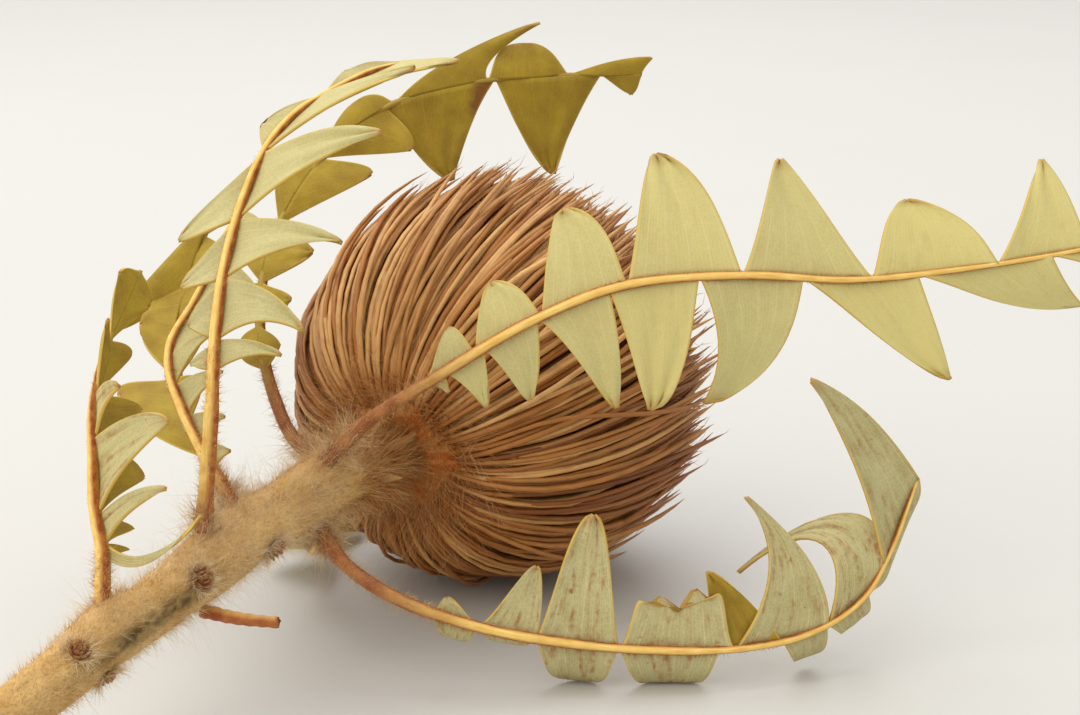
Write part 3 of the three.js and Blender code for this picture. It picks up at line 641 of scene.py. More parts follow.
# %% [markdown]
# ## One lobe
#
# A lobe is a stiff, thin tongue with two margins. Each margin closes in on the tip as (1 - b) to a
# power, so a power under 1 bulges, 1 is straight and more than 1 is hollow like a spire. A blunt lobe
# puts a higher power of b in its place. Walking out from the rib, the lobe folds and curls towards
# the upper face like an arc of a circle, so its reach is a difference of sines and its lift a
# difference of cosines. Two grids, half a blade's thickness to either side, and a rim between them
# make it a closed shell. The outermost cells are narrow, so that the margin stays a fine line.

# %% The lobe as a surface
BLADE = 0.55
FLOOR_CLEARANCE = 0.4
LOBE_TIP = 0.03
FLARE, FLARE_POWER = 0.12, 5
TROUGH, TROUGH_LEVEL = 0.06, 0.4
RIPPLE, RIPPLE_ALONG, RIPPLE_ACROSS = 0.02, 5, 3
TORN_WAVES = (9, 23)
ACROSS = np.r_[0, 0.03, np.linspace(0.1, 0.9, 11), 0.97, 1]
ALONG = np.r_[np.linspace(0, 0.9, 16), 0.945, 0.975, 1]


def margin(b, power, blunt):
    """What is left of a margin's half at b: 1 - b^(1 + blunt) to a power, with a small flare at the
    rib."""
    left = (1 - FLARE) * (1 - b ** (1 + blunt)) ** power + FLARE * (1 - b) ** FLARE_POWER
    return LOBE_TIP + (1 - LOBE_TIP) * left


def lobe_sheet(rib, facing, side, lobe, wave):
    """P(a, b) = rib(u) + side * reach * across - lift * outward + slide * along, where u runs between
    the two margins, reach = L (sin(fold + curl b) - sin fold) / curl,
    lift = L (cos fold - cos(fold + curl b)) / curl, with a shallow trough and a slow ripple on top, and
    slide = L (lean b + bow (b^2 - b)), which bends the lobe but leaves its tip in place. A torn lobe's
    length goes in and out in two waves. Also gives the way in which the underside faces, turned by the
    fold and half of the curl."""
    a, b = ACROSS[None, :], ALONG[:, None]
    middle = np.array((lobe["start"] + lobe["end"]) / 2)
    along, outward, across = frame_along(rib, middle, facing(middle))
    near = lobe["tip"] * (1 - margin(b, lobe["near"], lobe["blunt"]))
    far = lobe["tip"] + (1 - lobe["tip"]) * margin(b, lobe["far"], lobe["blunt"])
    share = near + a * (far - near)
    u = lobe["start"] + (lobe["end"] - lobe["start"]) * share
    teeth = np.sin(TORN_WAVES[0] * share + 1) + np.sin(TORN_WAVES[1] * share)
    ragged = lobe.get("torn", 0) * teeth / 2 * b
    fold, curl = math.radians(lobe["fold"]), math.radians(lobe["curl"])
    length = lobe["length"] * (1 + ragged)
    reach = length * (np.sin(fold + curl * b) - math.sin(fold)) / curl
    lift = length * (math.cos(fold) - np.cos(fold + curl * b)) / curl
    ends = on_path(rib, np.array([lobe["start"], lobe["end"]]))
    width = np.linalg.norm(ends[1] - ends[0])
    trough = TROUGH * width * (far - near) * ((2 * a - 1) ** 2 - TROUGH_LEVEL)
    phase = wave[0] + RIPPLE_ALONG * b + RIPPLE_ACROSS * a * wave[1]
    ripple = RIPPLE * lobe["length"] * b * np.sin(phase)
    lift = lift - trough + ripple
    slide = lobe["length"] * (lobe["lean"] * b + lobe["bow"] * (b**2 - b))
    sheet = on_path(rib, u) + side * reach[..., None] * across
    sheet = sheet - lift[..., None] * outward + slide[..., None] * along
    sheet[..., 2] = np.maximum(sheet[..., 2], FLOOR_CLEARANCE)
    turned = fold + curl / 2
    return sheet, math.cos(turned) * outward + side * math.sin(turned) * across


def lobe_shell(sheet, under_way, life):
    """Both faces of a sheet, half the blade's thickness to either side of it, joined round the rim."""
    rows, columns = sheet.shape[:2]
    normal = np.cross(np.gradient(sheet, axis=1), np.gradient(sheet, axis=0))
    normal = unit(normal) * np.sign(np.sum(normal * under_way, axis=-1).mean())
    points = np.concatenate([sheet + normal * BLADE / 2, sheet - normal * BLADE / 2]).reshape(-1, 3)
    index = np.arange(rows * columns).reshape(rows, columns)
    corners = [index[:-1, :-1], index[:-1, 1:], index[1:, 1:], index[1:, :-1]]
    under = np.stack(corners, axis=-1).reshape(-1, 4)
    rim = np.r_[index[0, :-1], index[:-1, -1], index[-1, :0:-1], index[:0:-1, 0]]
    following = np.roll(rim, -1)
    wall = np.stack([following, rim, rim + index.size, following + index.size], axis=-1)
    a, b = np.broadcast_arrays(ACROSS[None, :], ALONG[:, None])
    edge = ((a == 0) | (a == 1) | (b == 1)).astype(float)
    spot = np.concatenate([vectors(a, b, 0.0), vectors(a, b, 1.0)])
    numbers = {"spot": spot, "edge": np.tile(edge.ravel(), 2), "life": np.tile(life, (len(points), 1))}
    return points, [under, under[:, ::-1] + index.size, wall], numbers


print("a lobe has", 2 * (len(ACROSS) - 1) * (len(ALONG) - 1), "cells on its two faces")

# %% [markdown]
# ## The leaf blade's finish
#
# The underside is covered with a pale felt, through which fine straight veins and a still finer net
# show. The upper face is bare, darker and olive. Dry leaves stain rust-brown in streaks along the
# veins, their margins are a thin yellow line, and the very tips turn brown. All of this could be
# painted, but then each lobe would need its own picture. So it follows the lobe's own coordinates: a
# runs across it, b along it, and a third number tells the two faces apart.

# %% Leaf blade finish
VEINS, FINE_VEINS, NET_SCALE = 5.0, 26.0, 1300.0
leaf_finish, tree, shader = new_finish("felted leaf", roughness=0.62, specular=0.25)
spot, (across_lobe, along_lobe, face) = carried(tree, "spot")
_, (stain, warmth, scorch) = carried(tree, "life")
edge = add(tree, "Attribute", attribute_name="edge").outputs["Fac"]
mottle = noise(tree, 180.0, 4.0)
felt = tones(tree, mottle, 0.3, 0.7, "b9b183", "a79e6c")
felt = mix(tree, warmth, felt, colour("d8cb80"))
bare = tones(tree, mottle, 0.3, 0.7, "ac9128", "8d7119")
vein_wander = math_of(tree, "MULTIPLY", noise(tree, 90.0), 0.5)
vein_place = math_of(tree, "ADD", math_of(tree, "MULTIPLY", across_lobe, VEINS), vein_wander)
vein = fade(tree, math_of(tree, "PINGPONG", vein_place, 0.5), 0.0, 0.07, 1.0, 0.0)
fine_place = math_of(tree, "MULTIPLY", across_lobe, FINE_VEINS)
fine_place = math_of(tree, "ADD", fine_place, vein_wander)
fine_vein = fade(tree, math_of(tree, "PINGPONG", fine_place, 0.5), 0.0, 0.35, 1.0, 0.0)
net_space = add(tree, "TexCoord").outputs["Object"]
net = add(tree, "TexVoronoi", {"Vector": net_space, "Scale": NET_SCALE}, feature="DISTANCE_TO_EDGE")
net_line = fade(tree, net.outputs["Distance"], 0.0, 0.16, 1.0, 0.0)
veins = math_of(tree, "MULTIPLY", vein, 0.3)
veins = math_of(tree, "ADD", veins, math_of(tree, "MULTIPLY", fine_vein, 0.16))
veins = math_of(tree, "MULTIPLY", veins, fade(tree, along_lobe, 0.6, 0.92, 1.0, 0.0))
relief = math_of(tree, "ADD", veins, math_of(tree, "MULTIPLY", net_line, 0.22))
felt = mix(tree, relief, felt, colour("e2d79c"))
bare = mix(tree, math_of(tree, "MULTIPLY", relief, 0.5), bare, colour("c2aa4c"))
blade_tone = mix(tree, face, felt, bare)
streak_space = stretched(tree, spot, (9.0, 1.4, 0.0))
streak_shift = stretched(tree, net_space, (160.0, 160.0, 160.0))
streak_space = add(tree, "VectorMath", {0: streak_space, 1: streak_shift}).outputs[0]
streak = fade(tree, noise(tree, 1.0, 5.0, streak_space), 0.48, 0.74)
streak = math_of(tree, "MULTIPLY", streak, fade(tree, noise(tree, 900.0, 3.0), 0.35, 0.65, 0.25, 1.0))
speck = fade(tree, noise(tree, 650.0, 2.0), 0.68, 0.76)
browned = math_of(tree, "MAXIMUM", streak, math_of(tree, "MULTIPLY", speck, 0.8))
browned = math_of(tree, "MULTIPLY", browned, stain)
blade_tone = mix(tree, browned, blade_tone, colour("9a6234"))
eaten = math_of(tree, "ADD", across_lobe, math_of(tree, "MULTIPLY", mottle, 0.5))
eaten = math_of(tree, "ADD", eaten, fade(tree, along_lobe, 0.25, 0.65, 0.0, -0.6))
scorched = fade(tree, math_of(tree, "ADD", eaten, scorch), 1.45, 1.6, 0.0, 0.9)
blade_tone = mix(tree, scorched, blade_tone, mix(tree, mottle, colour("5e3818"), colour("9a6430")))
blade_tone = mix(tree, math_of(tree, "MULTIPLY", edge, 0.8), blade_tone, colour("dcb95a"))
tip_brown = math_of(tree, "MULTIPLY", fade(tree, along_lobe, 0.88, 1.0), 0.55)
blade_tone = mix(tree, tip_brown, blade_tone, colour("a9763c"))
tree.links.new(blade_tone, shader.inputs["Base Color"])
set_bump(tree, shader, relief, 0.12, 0.6)
print("felted leaf:", len(tree.nodes), "nodes")

# %% [markdown]
# ## Blades of all leaves
#
# A blade could be one sheet with a toothed outline, but the lobes of a dry leaf fold and curl each by
# itself, so each is a shell of its own. They meet at the rib, where the tube of the midrib will hide the
# joins. Chance gives each lobe its own ripple and its own share of stain and yellow.

# %% Blades
STAIN_RANGE, WARMTH_RANGE = (0.6, 1.2), (0.7, 1.3)
WARMTH_BASE, WARMTH_GAIN = 0.35, 1.2
WAVE_RANGE = (0, 6)
for name, leaf in LEAVES.items():
    leaf["path"] = smooth_path(leaf["rib"])
    shells = []
    for sign, lobe in lobes_of(leaf):
        wave = random.uniform(*WAVE_RANGE, 2)
        sheet, under_way = lobe_sheet(leaf["path"], facing_of(leaf), sign, lobe, wave)
        stain = leaf["stain"] * random.uniform(*STAIN_RANGE)
        warmth = leaf["warmth"] * random.uniform(*WARMTH_RANGE)
        warmth = warmth * (WARMTH_BASE + WARMTH_GAIN * lobe["start"])
        life = [stain, warmth, lobe.get("scorch", 0)]
        shells.append(lobe_shell(sheet, under_way, life))
    piece(name + "_blade", shells, leaf_finish, name)

# %% [markdown]
# ## Midribs and leaf stalks
#
# The rib is a raised cord on the underside, yellow and smooth on its crest and red-brown along both its
# edges, and no more than a crease on the upper face. Towards the stem it thickens into a rust-red
# stalk. Its points carry how near they are to the crest, how far along they are and how much they are
# stalk, so that one finish can run from the yellow cord to the red stalk without a seam.

# %% Midrib finish
rib_finish, tree, shader = new_finish("leaf midrib", roughness=0.5, specular=0.35)
rib_spot, (crest, _, stalkness) = carried(tree, "spot")
grain = noise(tree, 1.0, 4.0, stretched(tree, rib_spot, (14.0, 40.0, 1.0)))
crest_tone = tones(tree, grain, 0.35, 0.65, "fad67c", "e8b85a")
side_tone = tones(tree, noise(tree, 500.0), 0.4, 0.6, "9a461a", "b8702e")
rib_tone = mix(tree, fade(tree, crest, 0.7, 0.94), side_tone, crest_tone)
stalk_tone = tones(tree, noise(tree, 260.0, 5.0), 0.35, 0.65, "8c4a26", "b27640")
rib_tone = mix(tree, fade(tree, crest, 0.2, 0.4, 1.0, 0.0), rib_tone, colour("a68c34"))
rib_tone = mix(tree, stalkness, rib_tone, stalk_tone)
tree.links.new(rib_tone, shader.inputs["Base Color"])
set_bump(tree, shader, grain, 0.15, 0.5)
print("leaf midrib:", len(tree.nodes), "nodes")

# %% [markdown]
# ## The ribs as tubes
#
# A rib could be drawn as a plain tube on the leaf's path, but then half of it would stand out on the
# upper face, where the real leaf has only a crease. So the tube moves out on to the underside as soon
# as the blade starts, by three quarters of its radius. Two sine waves make its girth a little uneven.

# %% Midrib tubes
STALK_RADIUS, RIB_RADIUS, RIB_TIP = 1.85, 1.25, 0.45
RIB_RINGS, RIB_SIDES = 90, 12
RIB_SETTING, RIB_FLATNESS = 0.75, 0.85
KNOTS, FINE_KNOTS = (0.04, 37), (0.03, 91)
RED_END, RED_FADE = 1.3, 0.6
TABLE_GAP = 0.05


def rib_radius(leaf, u):
    """Falls evenly over the bare stalk, then evenly to the tip."""
    stalk = STALK_RADIUS + (RIB_RADIUS - STALK_RADIUS) * np.minimum(u / leaf["stalk"], 1)
    beyond = np.maximum((u - leaf["stalk"]) / (1 - leaf["stalk"]), 0)
    return stalk + (RIB_TIP - stalk) * beyond


def rib_centre(leaf, u):
    """The middle of the rib's tube: on the path at the stem, then out on the underside of the blade."""
    _, outward, _ = frame_along(leaf["path"], u, facing_of(leaf)(u))
    radius = rib_radius(leaf, u)
    setting = RIB_SETTING * radius * np.clip(u / leaf["stalk"], 0, 1)
    centre = on_path(leaf["path"], u) + outward * setting[:, None]
    centre[:, 2] = np.maximum(centre[:, 2], radius + TABLE_GAP)
    return centre


def rib_tube(leaf):
    """A tube along the rib's middle, slightly uneven in girth."""
    u = np.linspace(0, 1, RIB_RINGS)
    _, outward, across = frame_along(leaf["path"], u, facing_of(leaf)(u))
    knots, fine_knots = [depth * np.sin(runs * u) for depth, runs in (KNOTS, FINE_KNOTS)]
    radius = rib_radius(leaf, u) * (1 + knots + fine_knots)
    middle = rib_centre(leaf, u)[None]
    wide, deep = radius[None] * RIB_FLATNESS, radius[None]
    points, faces, angle = tubes(middle, across[None], outward[None], wide, deep, RIB_SIDES)
    stalk = np.clip((RED_END * leaf["rust"] - u) / (RED_FADE * leaf["rust"]), 0, 1)
    spot = vectors((np.sin(angle)[None, :] + 1) / 2, u[:, None], stalk[:, None])
    return points, faces, {"spot": spot}


for name, leaf in LEAVES.items():
    piece(name + "_rib", [rib_tube(leaf)], rib_finish)

# %% [markdown]
# ## Bark
#
# The bark is tan under its felt of short down, worn grey in one long patch and near the cut, redder
# where the leaf stalks and the head begin, and the cut itself shows pale wood. Four tones and two
# stretched noises could be painted by hand, but each point of the stem carries how grey, how red and
# how bare it is instead, so that the finish follows the shape.

# %% Bark finish
bark_finish, tree, shader = new_finish("felted bark", roughness=0.95, specular=0.05)
_, (grey, red, wood) = carried(tree, "spot")
bark_space = add(tree, "TexCoord").outputs["Object"]
furrow = noise(tree, 1.0, 4.0, stretched(tree, bark_space, (500.0, 300.0, 700.0)))
fibre = noise(tree, 1.0, 3.0, stretched(tree, bark_space, (2100.0, 1300.0, 2600.0)))
down_tone = tones(tree, noise(tree, 150.0, 5.0), 0.3, 0.7, "e8c486", "cda162")
down_tone = mix(tree, fade(tree, fibre, 0.45, 0.7, 0.0, 0.5), down_tone, colour("a67c46"))
worn_tone = tones(tree, furrow, 0.35, 0.65, "7d6743", "54442a")
scale_tone = tones(tree, fibre, 0.35, 0.65, "6a2a1c", "8e4a34")
wood_tone = tones(tree, furrow, 0.3, 0.7, "e0c48e", "b9965c")
worn = math_of(tree, "MULTIPLY", grey, fade(tree, furrow, 0.25, 0.55, 0.5, 1.0))
bark_tone = mix(tree, worn, down_tone, worn_tone)
bark_tone = mix(tree, red, bark_tone, scale_tone)
bark_tone = mix(tree, wood, bark_tone, wood_tone)
tree.links.new(bark_tone, shader.inputs["Base Color"])
bark_height = math_of(tree, "ADD", furrow, math_of(tree, "MULTIPLY", fibre, 0.5))
set_bump(tree, shader, bark_height, 0.5, 0.8)
print("felted bark:", len(tree.nodes), "nodes")

# %% [markdown]
# ## Lumps, worn patch and cushions
#
# The stem isn't a plain bar: it is lumpy, one long patch of it has been rubbed bare, and a cushion of
# bark runs up into each leaf stalk, from where its rib leaves the stem. Sine waves make the lumps,
# because a whole number of them round the stem closes without a seam. Bells make the patch and the
# cushions, because they fade out softly on all sides. Finish, bark and hair all ask these functions.

# %% Lumps, worn patch and cushions
SWELLING, SWELLING_BACK, SWELLING_FRONT, SWELLING_WIDTH = 1.9, 11.0, 4.5, 3.4
PATCH_PLACE, PATCH_REACH = (0.47, 78.0), (0.11, 24.0)
stalk_feet = []
for leaf in LEAVES.values():
    rib_places = leaf["path"][: PATH_SAMPLES // 8]
    stem_gap = np.linalg.norm(rib_places[:, None] - stem_path[None, ::10], axis=-1).min(axis=1)
    stalk_feet.append(rib_places[np.argmax(stem_gap > STEM_RADII[1])])


def waves(theta, u, seed, count=7):
    """A sum of slanted sine waves with chance phases: soft lumps that close round the stem."""
    chance = np.random.default_rng(seed)
    total = 0
    for _ in range(count):
        turns, runs, phase = chance.integers(1, 7), chance.uniform(8, 60), chance.uniform(0, 6.3)
        total = total + np.sin(turns * theta + runs * u + phase)
    return total / count


def patch_at(u, degrees):
    """How far a place lies within the worn patch: exp(-x^4) along the stem times exp(-y^2) round it."""
    lengthwise = np.exp(-(((u - PATCH_PLACE[0]) / PATCH_REACH[0]) ** 4))
    return lengthwise * np.exp(-(((degrees - PATCH_PLACE[1]) / PATCH_REACH[1]) ** 2))


def cushions(points, along):
    """How near places on the bark are to a leaf stalk's foot: exp(-x^2 - y^2), a bell that is drawn out
    towards the cut, so that each stalk seems to run up out of the stem."""
    nearest = 0
    for foot in stalk_feet:
        gap = points - foot
        lengthwise = np.sum(gap * along, axis=-1)
        crosswise = np.sum(gap**2, axis=-1) - lengthwise**2
        stretch = np.where(lengthwise < 0, SWELLING_BACK, SWELLING_FRONT)
        bell = np.exp(-((lengthwise / stretch) ** 2) - crosswise / SWELLING_WIDTH**2)
        nearest = np.maximum(nearest, bell)
    return nearest


print(len(stalk_feet), "cushions, the first at", np.round(stalk_feet[0], 1), "mm")

# %% [markdown]
# ## The stem's shape
#
# The surface is a tube whose radius is the stem's own plus the lumps and cushions. A modifier could
# push it about with a texture, but here the same functions shape the bark and root the hair on it. Two
# small rings inside the first one close the cut, and what the finish needs is carried on the points.

# %% Stem
STEM_RINGS, STEM_SIDES = 260, 48
LUMPS, FINE_LUMPS = 0.45, 0.25
CUT_RINGS = np.array([0.02, 0.8])
CUT_GREY, CUT_GREY_REACH = 0.7, 0.26
NECK_RED, NECK_RED_FROM, NECK_RED_REACH, CUSHION_RED = 0.5, 0.84, 0.1, 0.3


def stem_shell():
    """radius(u, theta) = stem radius + two sets of lumps + a cushion under each leaf stalk."""
    u = np.r_[0, 0, np.linspace(0, 1, STEM_RINGS)]
    theta = np.arange(STEM_SIDES) * 2 * np.pi / STEM_SIDES
    along, outward, across = frame_along(stem_path, u, UP)
    cos, sin = np.cos(theta)[None, :, None], np.sin(theta)[None, :, None]
    away = cos * across[:, None] + sin * outward[:, None]
    lumps = LUMPS * waves(theta[None], u[:, None], 3)
    lumps = lumps + FINE_LUMPS * waves(3 * theta[None], u[:, None], 4)
    radius = stem_radius(u)[:, None] + lumps
    points = on_path(stem_path, u)[:, None] + away * radius[..., None]
    cushion = cushions(points, along[:, None])
    points = points + away * (SWELLING * cushion)[..., None]
    centre = on_path(stem_path, u[:2])[:, None]
    points[:2] = centre + (points[2] - centre) * CUT_RINGS[:, None, None]
    points[..., 2] = np.maximum(points[..., 2], TABLE_GAP)
    side = np.degrees(np.arctan2(np.cos(theta), np.sin(theta)))[None]
    grey = CUT_GREY * np.exp(-((u[:, None] / CUT_GREY_REACH) ** 2))
    grey = np.clip(patch_at(u[:, None], side) + grey, 0, 1)
    red = NECK_RED * np.clip((u[:, None] - NECK_RED_FROM) / NECK_RED_REACH, 0, 1)
    red = red + CUSHION_RED * cushion**2
    cut = (np.arange(len(u)) < len(CUT_RINGS))[:, None]
    return *ring_shells(points), {"spot": vectors(grey, red, cut)}


stem_shells = [stem_shell()]
print("the stem's shell has", len(stem_shells[0][0]), "points")

# %% [markdown]
# ## Buds
#
# In the corner of each fallen leaf sits a bud of red-brown scales in a halo of white hair. Its scales
# are flat pointed tubes in three rings, the inner ones steeper. A bud is listed by its share of the
# stem's length, its degrees from the top and its radius. A ring of scales is listed by their number,
# the radius that they stand on, how far they flare out and how high they rise, in bud radii.

# %% Buds
KNOBS = [(0.68, 120, 2.2), (0.55, 60, 2.1), (0.37, 36, 1.8), (0.4, 140, 1.7)]
KNOBS += [(0.76, 150, 1.5), (0.47, -60, 1.8), (0.22, 20, 1.8)]
SCALE_RINGS = [(7, 0.6, 0.35, 0.8), (5, 0.35, 0.1, 1.0), (3, 0.1, 0.0, 1.05)]
SCALE_STEPS, SCALE_SIDES = np.linspace(0, 1, 5), 6
SCALE_DEPTH, SCALE_WIDTH, SCALE_TAPER, SCALE_FLATNESS = 0.4, 0.5, 0.93, 0.4
SCALE_SCATTER, SCALE_RED, SCALE_FADE = 0.18, 0.95, 0.35


def bud_shell(u, degrees, radius, scales, ring, flare, height, turn):
    """One ring of scales: root on a circle, then outward by the flare and upward by the height."""
    centre, along, away = around_stem(np.array(u), np.array(float(degrees)))
    places = np.arange(scales) + turn + random.normal(0, SCALE_SCATTER, scales)
    angle = places * 2 * np.pi / scales
    flat = np.cos(angle)[:, None] * along + np.sin(angle)[:, None] * np.cross(away, along)
    s = SCALE_STEPS[None, :, None]
    grown = flat[:, None] * (ring + flare * s) + away * height * s**0.7
    path = centre + away * (stem_radius(u) - SCALE_DEPTH) + radius * grown
    wide = SCALE_WIDTH * radius * (1 - SCALE_TAPER * SCALE_STEPS**1.5)[None] * np.ones((scales, 1))
    across = np.broadcast_to(np.cross(flat, away)[:, None], path.shape)
    outward = np.broadcast_to(flat[:, None], path.shape)
    points, faces, _ = tubes(path, across, outward, wide, SCALE_FLATNESS * wide, SCALE_SIDES)
    red = SCALE_RED - SCALE_FADE * s[..., 0] * np.ones((scales, 1))
    return points, faces, {"spot": vectors(0.0, red[..., None] + np.zeros(SCALE_SIDES), 0.0)}


for knob in KNOBS:
    stem_shells += [bud_shell(*knob, *ring, number / 2) for number, ring in enumerate(SCALE_RINGS)]
print(len(KNOBS), "buds of", sum(ring[0] for ring in SCALE_RINGS), "scales")

# %% [markdown]
# ## Bracts
#
# Below the head a ring of narrow dry scales leaves the stem at a low angle. They are tubes of the same
# kind as the bud scales, only longer, and widest before their middle. A cosine of their number gives
# each its own length, so that the ring looks grown and yet comes out the same every time.

# %% Bracts
BRACTS, BRACT_PLACES = 7, (0.88, 0.86)
BRACT_START, BRACT_LENGTH, BRACT_RISE, BRACT_WIDTH = 44.0, 10.0, 3.6, 1.1
BRACT_LEAST, BRACT_VARIES = 0.7, 0.3
BRACT_STEPS, BRACT_SIDES = 12, 8
BRACT_DEPTH, BRACT_FLATNESS, BRACT_RED, BRACT_PALE = 0.5, 0.35, 0.7, 0.4


def bract_shell(number):
    """Out from the stem by its radius + rise * s^1.5, on by reach * s; the width is part of a sine."""
    u = np.array(BRACT_PLACES[number % 2])
    centre, along, away = around_stem(u, np.array(BRACT_START + 360 / BRACTS * number))
    s = np.linspace(0, 1, BRACT_STEPS)[:, None]
    reach = BRACT_LENGTH * (BRACT_LEAST + BRACT_VARIES * math.cos(number * 2.4))
    rise = stem_radius(u) - BRACT_DEPTH + BRACT_RISE * s**1.5
    path = centre + away * rise + along * reach * s
    wide = BRACT_WIDTH * np.sin(np.pi * (0.25 + 0.73 * s[:, 0]))[None]
    across = np.broadcast_to(np.cross(along, away), path.shape)[None]
    outward = np.broadcast_to(away, path.shape)[None]
    points, faces, _ = tubes(path[None], across, outward, wide, BRACT_FLATNESS * wide, BRACT_SIDES)
    tone = np.repeat(s[:, 0] ** 2, BRACT_SIDES)
    return points, faces, {"spot": vectors(0.0, BRACT_RED * (1 - tone), BRACT_PALE * tone)}


stem_shells += [bract_shell(number) for number in range(BRACTS)]
piece("stem_bark", stem_shells, bark_finish, "stem")

# %% [markdown]
# ## A broken leaf stalk
#
# One leaf has gone, and a short straight stub of its stalk is left, with the rust-red skin of the other
# stalks and a frayed end. A plain tube would look sawn off, and dry stalks snap, so the last ring of
# this one is pushed in and out by chance.

# %% Broken stalk
BROKEN_STALK = [(-46.5, -80.5, 22.4), (-40, -83, 22.0), (-33.5, -84.5, 21.9)]
BROKEN_RADII = (1.2, 0.95)
BROKEN_RINGS, BROKEN_SIDES = 24, 14
BROKEN_KNOTS, FRAY = (0.08, 41), 0.4
BROKEN_CREST, BROKEN_ROUND, BROKEN_STALKNESS = 0.6, 0.25, 0.3
broken_path = smooth_path(BROKEN_STALK)


def broken_shell():
    """radius = a straight line between two radii + small waves; the end ring is frayed by chance."""
    u = np.linspace(0, 1, BROKEN_RINGS)
    along, outward, across = frame_along(broken_path, u, UP)
    radius = BROKEN_RADII[0] + (BROKEN_RADII[1] - BROKEN_RADII[0]) * u
    radius = radius + BROKEN_KNOTS[0] * np.sin(BROKEN_KNOTS[1] * u)
    centre, radius = on_path(broken_path, u)[None], radius[None]
    points, faces, angle = tubes(centre, across[None], outward[None], radius, radius, BROKEN_SIDES)
    points = points.reshape(BROKEN_RINGS, BROKEN_SIDES, 3)
    points[-1] += along[-1] * random.uniform(-FRAY, FRAY, (BROKEN_SIDES, 1))
    crest = BROKEN_CREST + BROKEN_ROUND * np.sin(angle)[None, :]
    spot = vectors(crest, u[:, None], BROKEN_STALKNESS)
    return points.reshape(-1, 3), faces, {"spot": spot}


piece("stem_broken_stalk", [broken_shell()], rib_finish)

# %% [markdown]
# ## The head's frame and core
#
# Florets grow all over a fat axis. Those near the stem bend back and sweep round the outside of the
# head; those on the far dome stand straight out. Under them all lies a core, a profile turned about the
# head's axis and coloured dark brown as painted shade, the shade deep in the gaps between florets. More
# florets could close the gaps too, but the core does it with few faces.

# %% Head frame and core
head_down = unit(-UP + HEAD_AXIS * HEAD_AXIS[2])
head_side = np.cross(HEAD_AXIS, head_down)
SWEEP = np.array([[7, BASE_HEIGHT + 0.5], [24, -37.5], [40, -22], [40.5, 14]])
DOME_RADIUS, DOME_FOOT, DOME_HEIGHT = 36.5, 4.0, 29.5
CORE_SHARE, CORE_ROWS, CORE_SIDES = 0.93, 20, 72
CORE_RISE, CORE_HOLE, CORE_FLOOR = 0.25, 0.05, 0.8


def in_head(turn, radius, height):
    """Cylinder coordinates about the head's axis; a turn of 0 points down."""
    out = np.cos(turn)[..., None] * head_down + np.sin(turn)[..., None] * head_side
    return HEAD_CENTRE + out * radius[..., None] + HEAD_AXIS * height[..., None]


def bezier(corners, t):
    """The cubic with four corners: (1-t)^3 A + 3 (1-t)^2 t B + 3 (1-t) t^2 C + t^3 D."""
    weights = np.stack([(1 - t) ** 3, 3 * (1 - t) ** 2 * t, 3 * (1 - t) * t**2, t**3], axis=-1)
    return np.sum(weights * corners, axis=-1)


def core_shell():
    """The sweep's profile, then a quarter of an ellipse, both a little inside the florets, turned once
    round the head's axis."""
    t = np.linspace(0, 1, CORE_ROWS)
    rise = np.linspace(CORE_RISE, np.pi / 2, CORE_ROWS)
    dome_radius = DOME_RADIUS * np.cos(rise) + CORE_HOLE
    dome_height = DOME_FOOT + DOME_HEIGHT * np.sin(rise)
    radius = np.r_[bezier(SWEEP[:, 0], t)[:-3], dome_radius] * CORE_SHARE
    height = np.r_[bezier(SWEEP[:, 1], t)[:-3], dome_height] * CORE_SHARE
    turn = np.arange(CORE_SIDES) * 2 * np.pi / CORE_SIDES
    points = in_head(turn[None, :] + 0 * radius[:, None], radius[:, None], height[:, None])
    points[..., 2] = np.maximum(points[..., 2], CORE_FLOOR)
    return *ring_shells(points), {}


# painted shade: the core's dark brown stands for the shade deep between the florets
core_finish, tree, shader = new_finish("floret bed painted as shade", roughness=0.95, specular=0.05)
core_painted_shade = mix(tree, noise(tree, 700.0), colour("452a14"), colour("6b4524"))
tree.links.new(core_painted_shade, shader.inputs["Base Color"])
piece("head_core", [core_shell()], core_finish, "flower_head")

# %% [markdown]
# ## The florets' finish
#
# A dry floret runs from dark brown to straw, darker at its root and towards its tip, and those that lie
# deeper in the coat are given a painted shade, darker still. Each strand carries its own tint, which
# also holds painted light on the upper florets and the dome, how far along it a point is and how deep
# it lies, so that one finish serves thousands of them.

# %% Floret finish
floret_finish, tree, shader = new_finish("dry floret", roughness=0.5, specular=0.4)
_, (tint, along_floret, depth) = carried(tree, "strand")
straw = tones(tree, tint, 0.0, 0.5, "83481c", "b67736")
straw = mix(tree, fade(tree, tint, 0.5, 1.0), straw, colour("e0ae6c"))
fleck = noise(tree, 260.0, 3.0)
straw = mix(tree, fade(tree, fleck, 0.45, 0.75, 0.0, 0.35), straw, colour("7a4520"))
straw = mix(tree, fade(tree, along_floret, 0.0, 0.3, 0.6, 0.0), straw, colour("7d431d"))
straw = mix(tree, fade(tree, along_floret, 0.8, 1.0, 0.0, 0.4), straw, colour("9a5f30"))
# painted shade: deeper layers are darkened towards 4e2a10, except near their tips, for the shade between
# florets
painted_depth_shade = fade(tree, depth, 0.1, 1.0, 0.0, 0.75)
painted_depth_shade = math_of(tree, "MULTIPLY", painted_depth_shade, fade(tree, along_floret, 0.55, 0.85, 1.0, 0.0))
straw = mix(tree, painted_depth_shade, straw, colour("4e2a10"))
tree.links.new(straw, shader.inputs["Base Color"])
print("dry floret:", len(tree.nodes), "nodes")

# %% [markdown]
# ## Swept florets
#
# Each is a dry tube no thicker than a straw of grass. It leaves the woolly base beside the stem,
# follows the head's profile as a Bezier curve in the plane of the axis, and ends in a fine point.
# Several layers lie over each other: the outer ones end low, the inner ones reach on to the dome, and
# a few stray ones lie across the rest. Hair particles could be combed into this shape, but curves that
# are worked out can be told where to start and end. Chance bends keep them from looking combed.

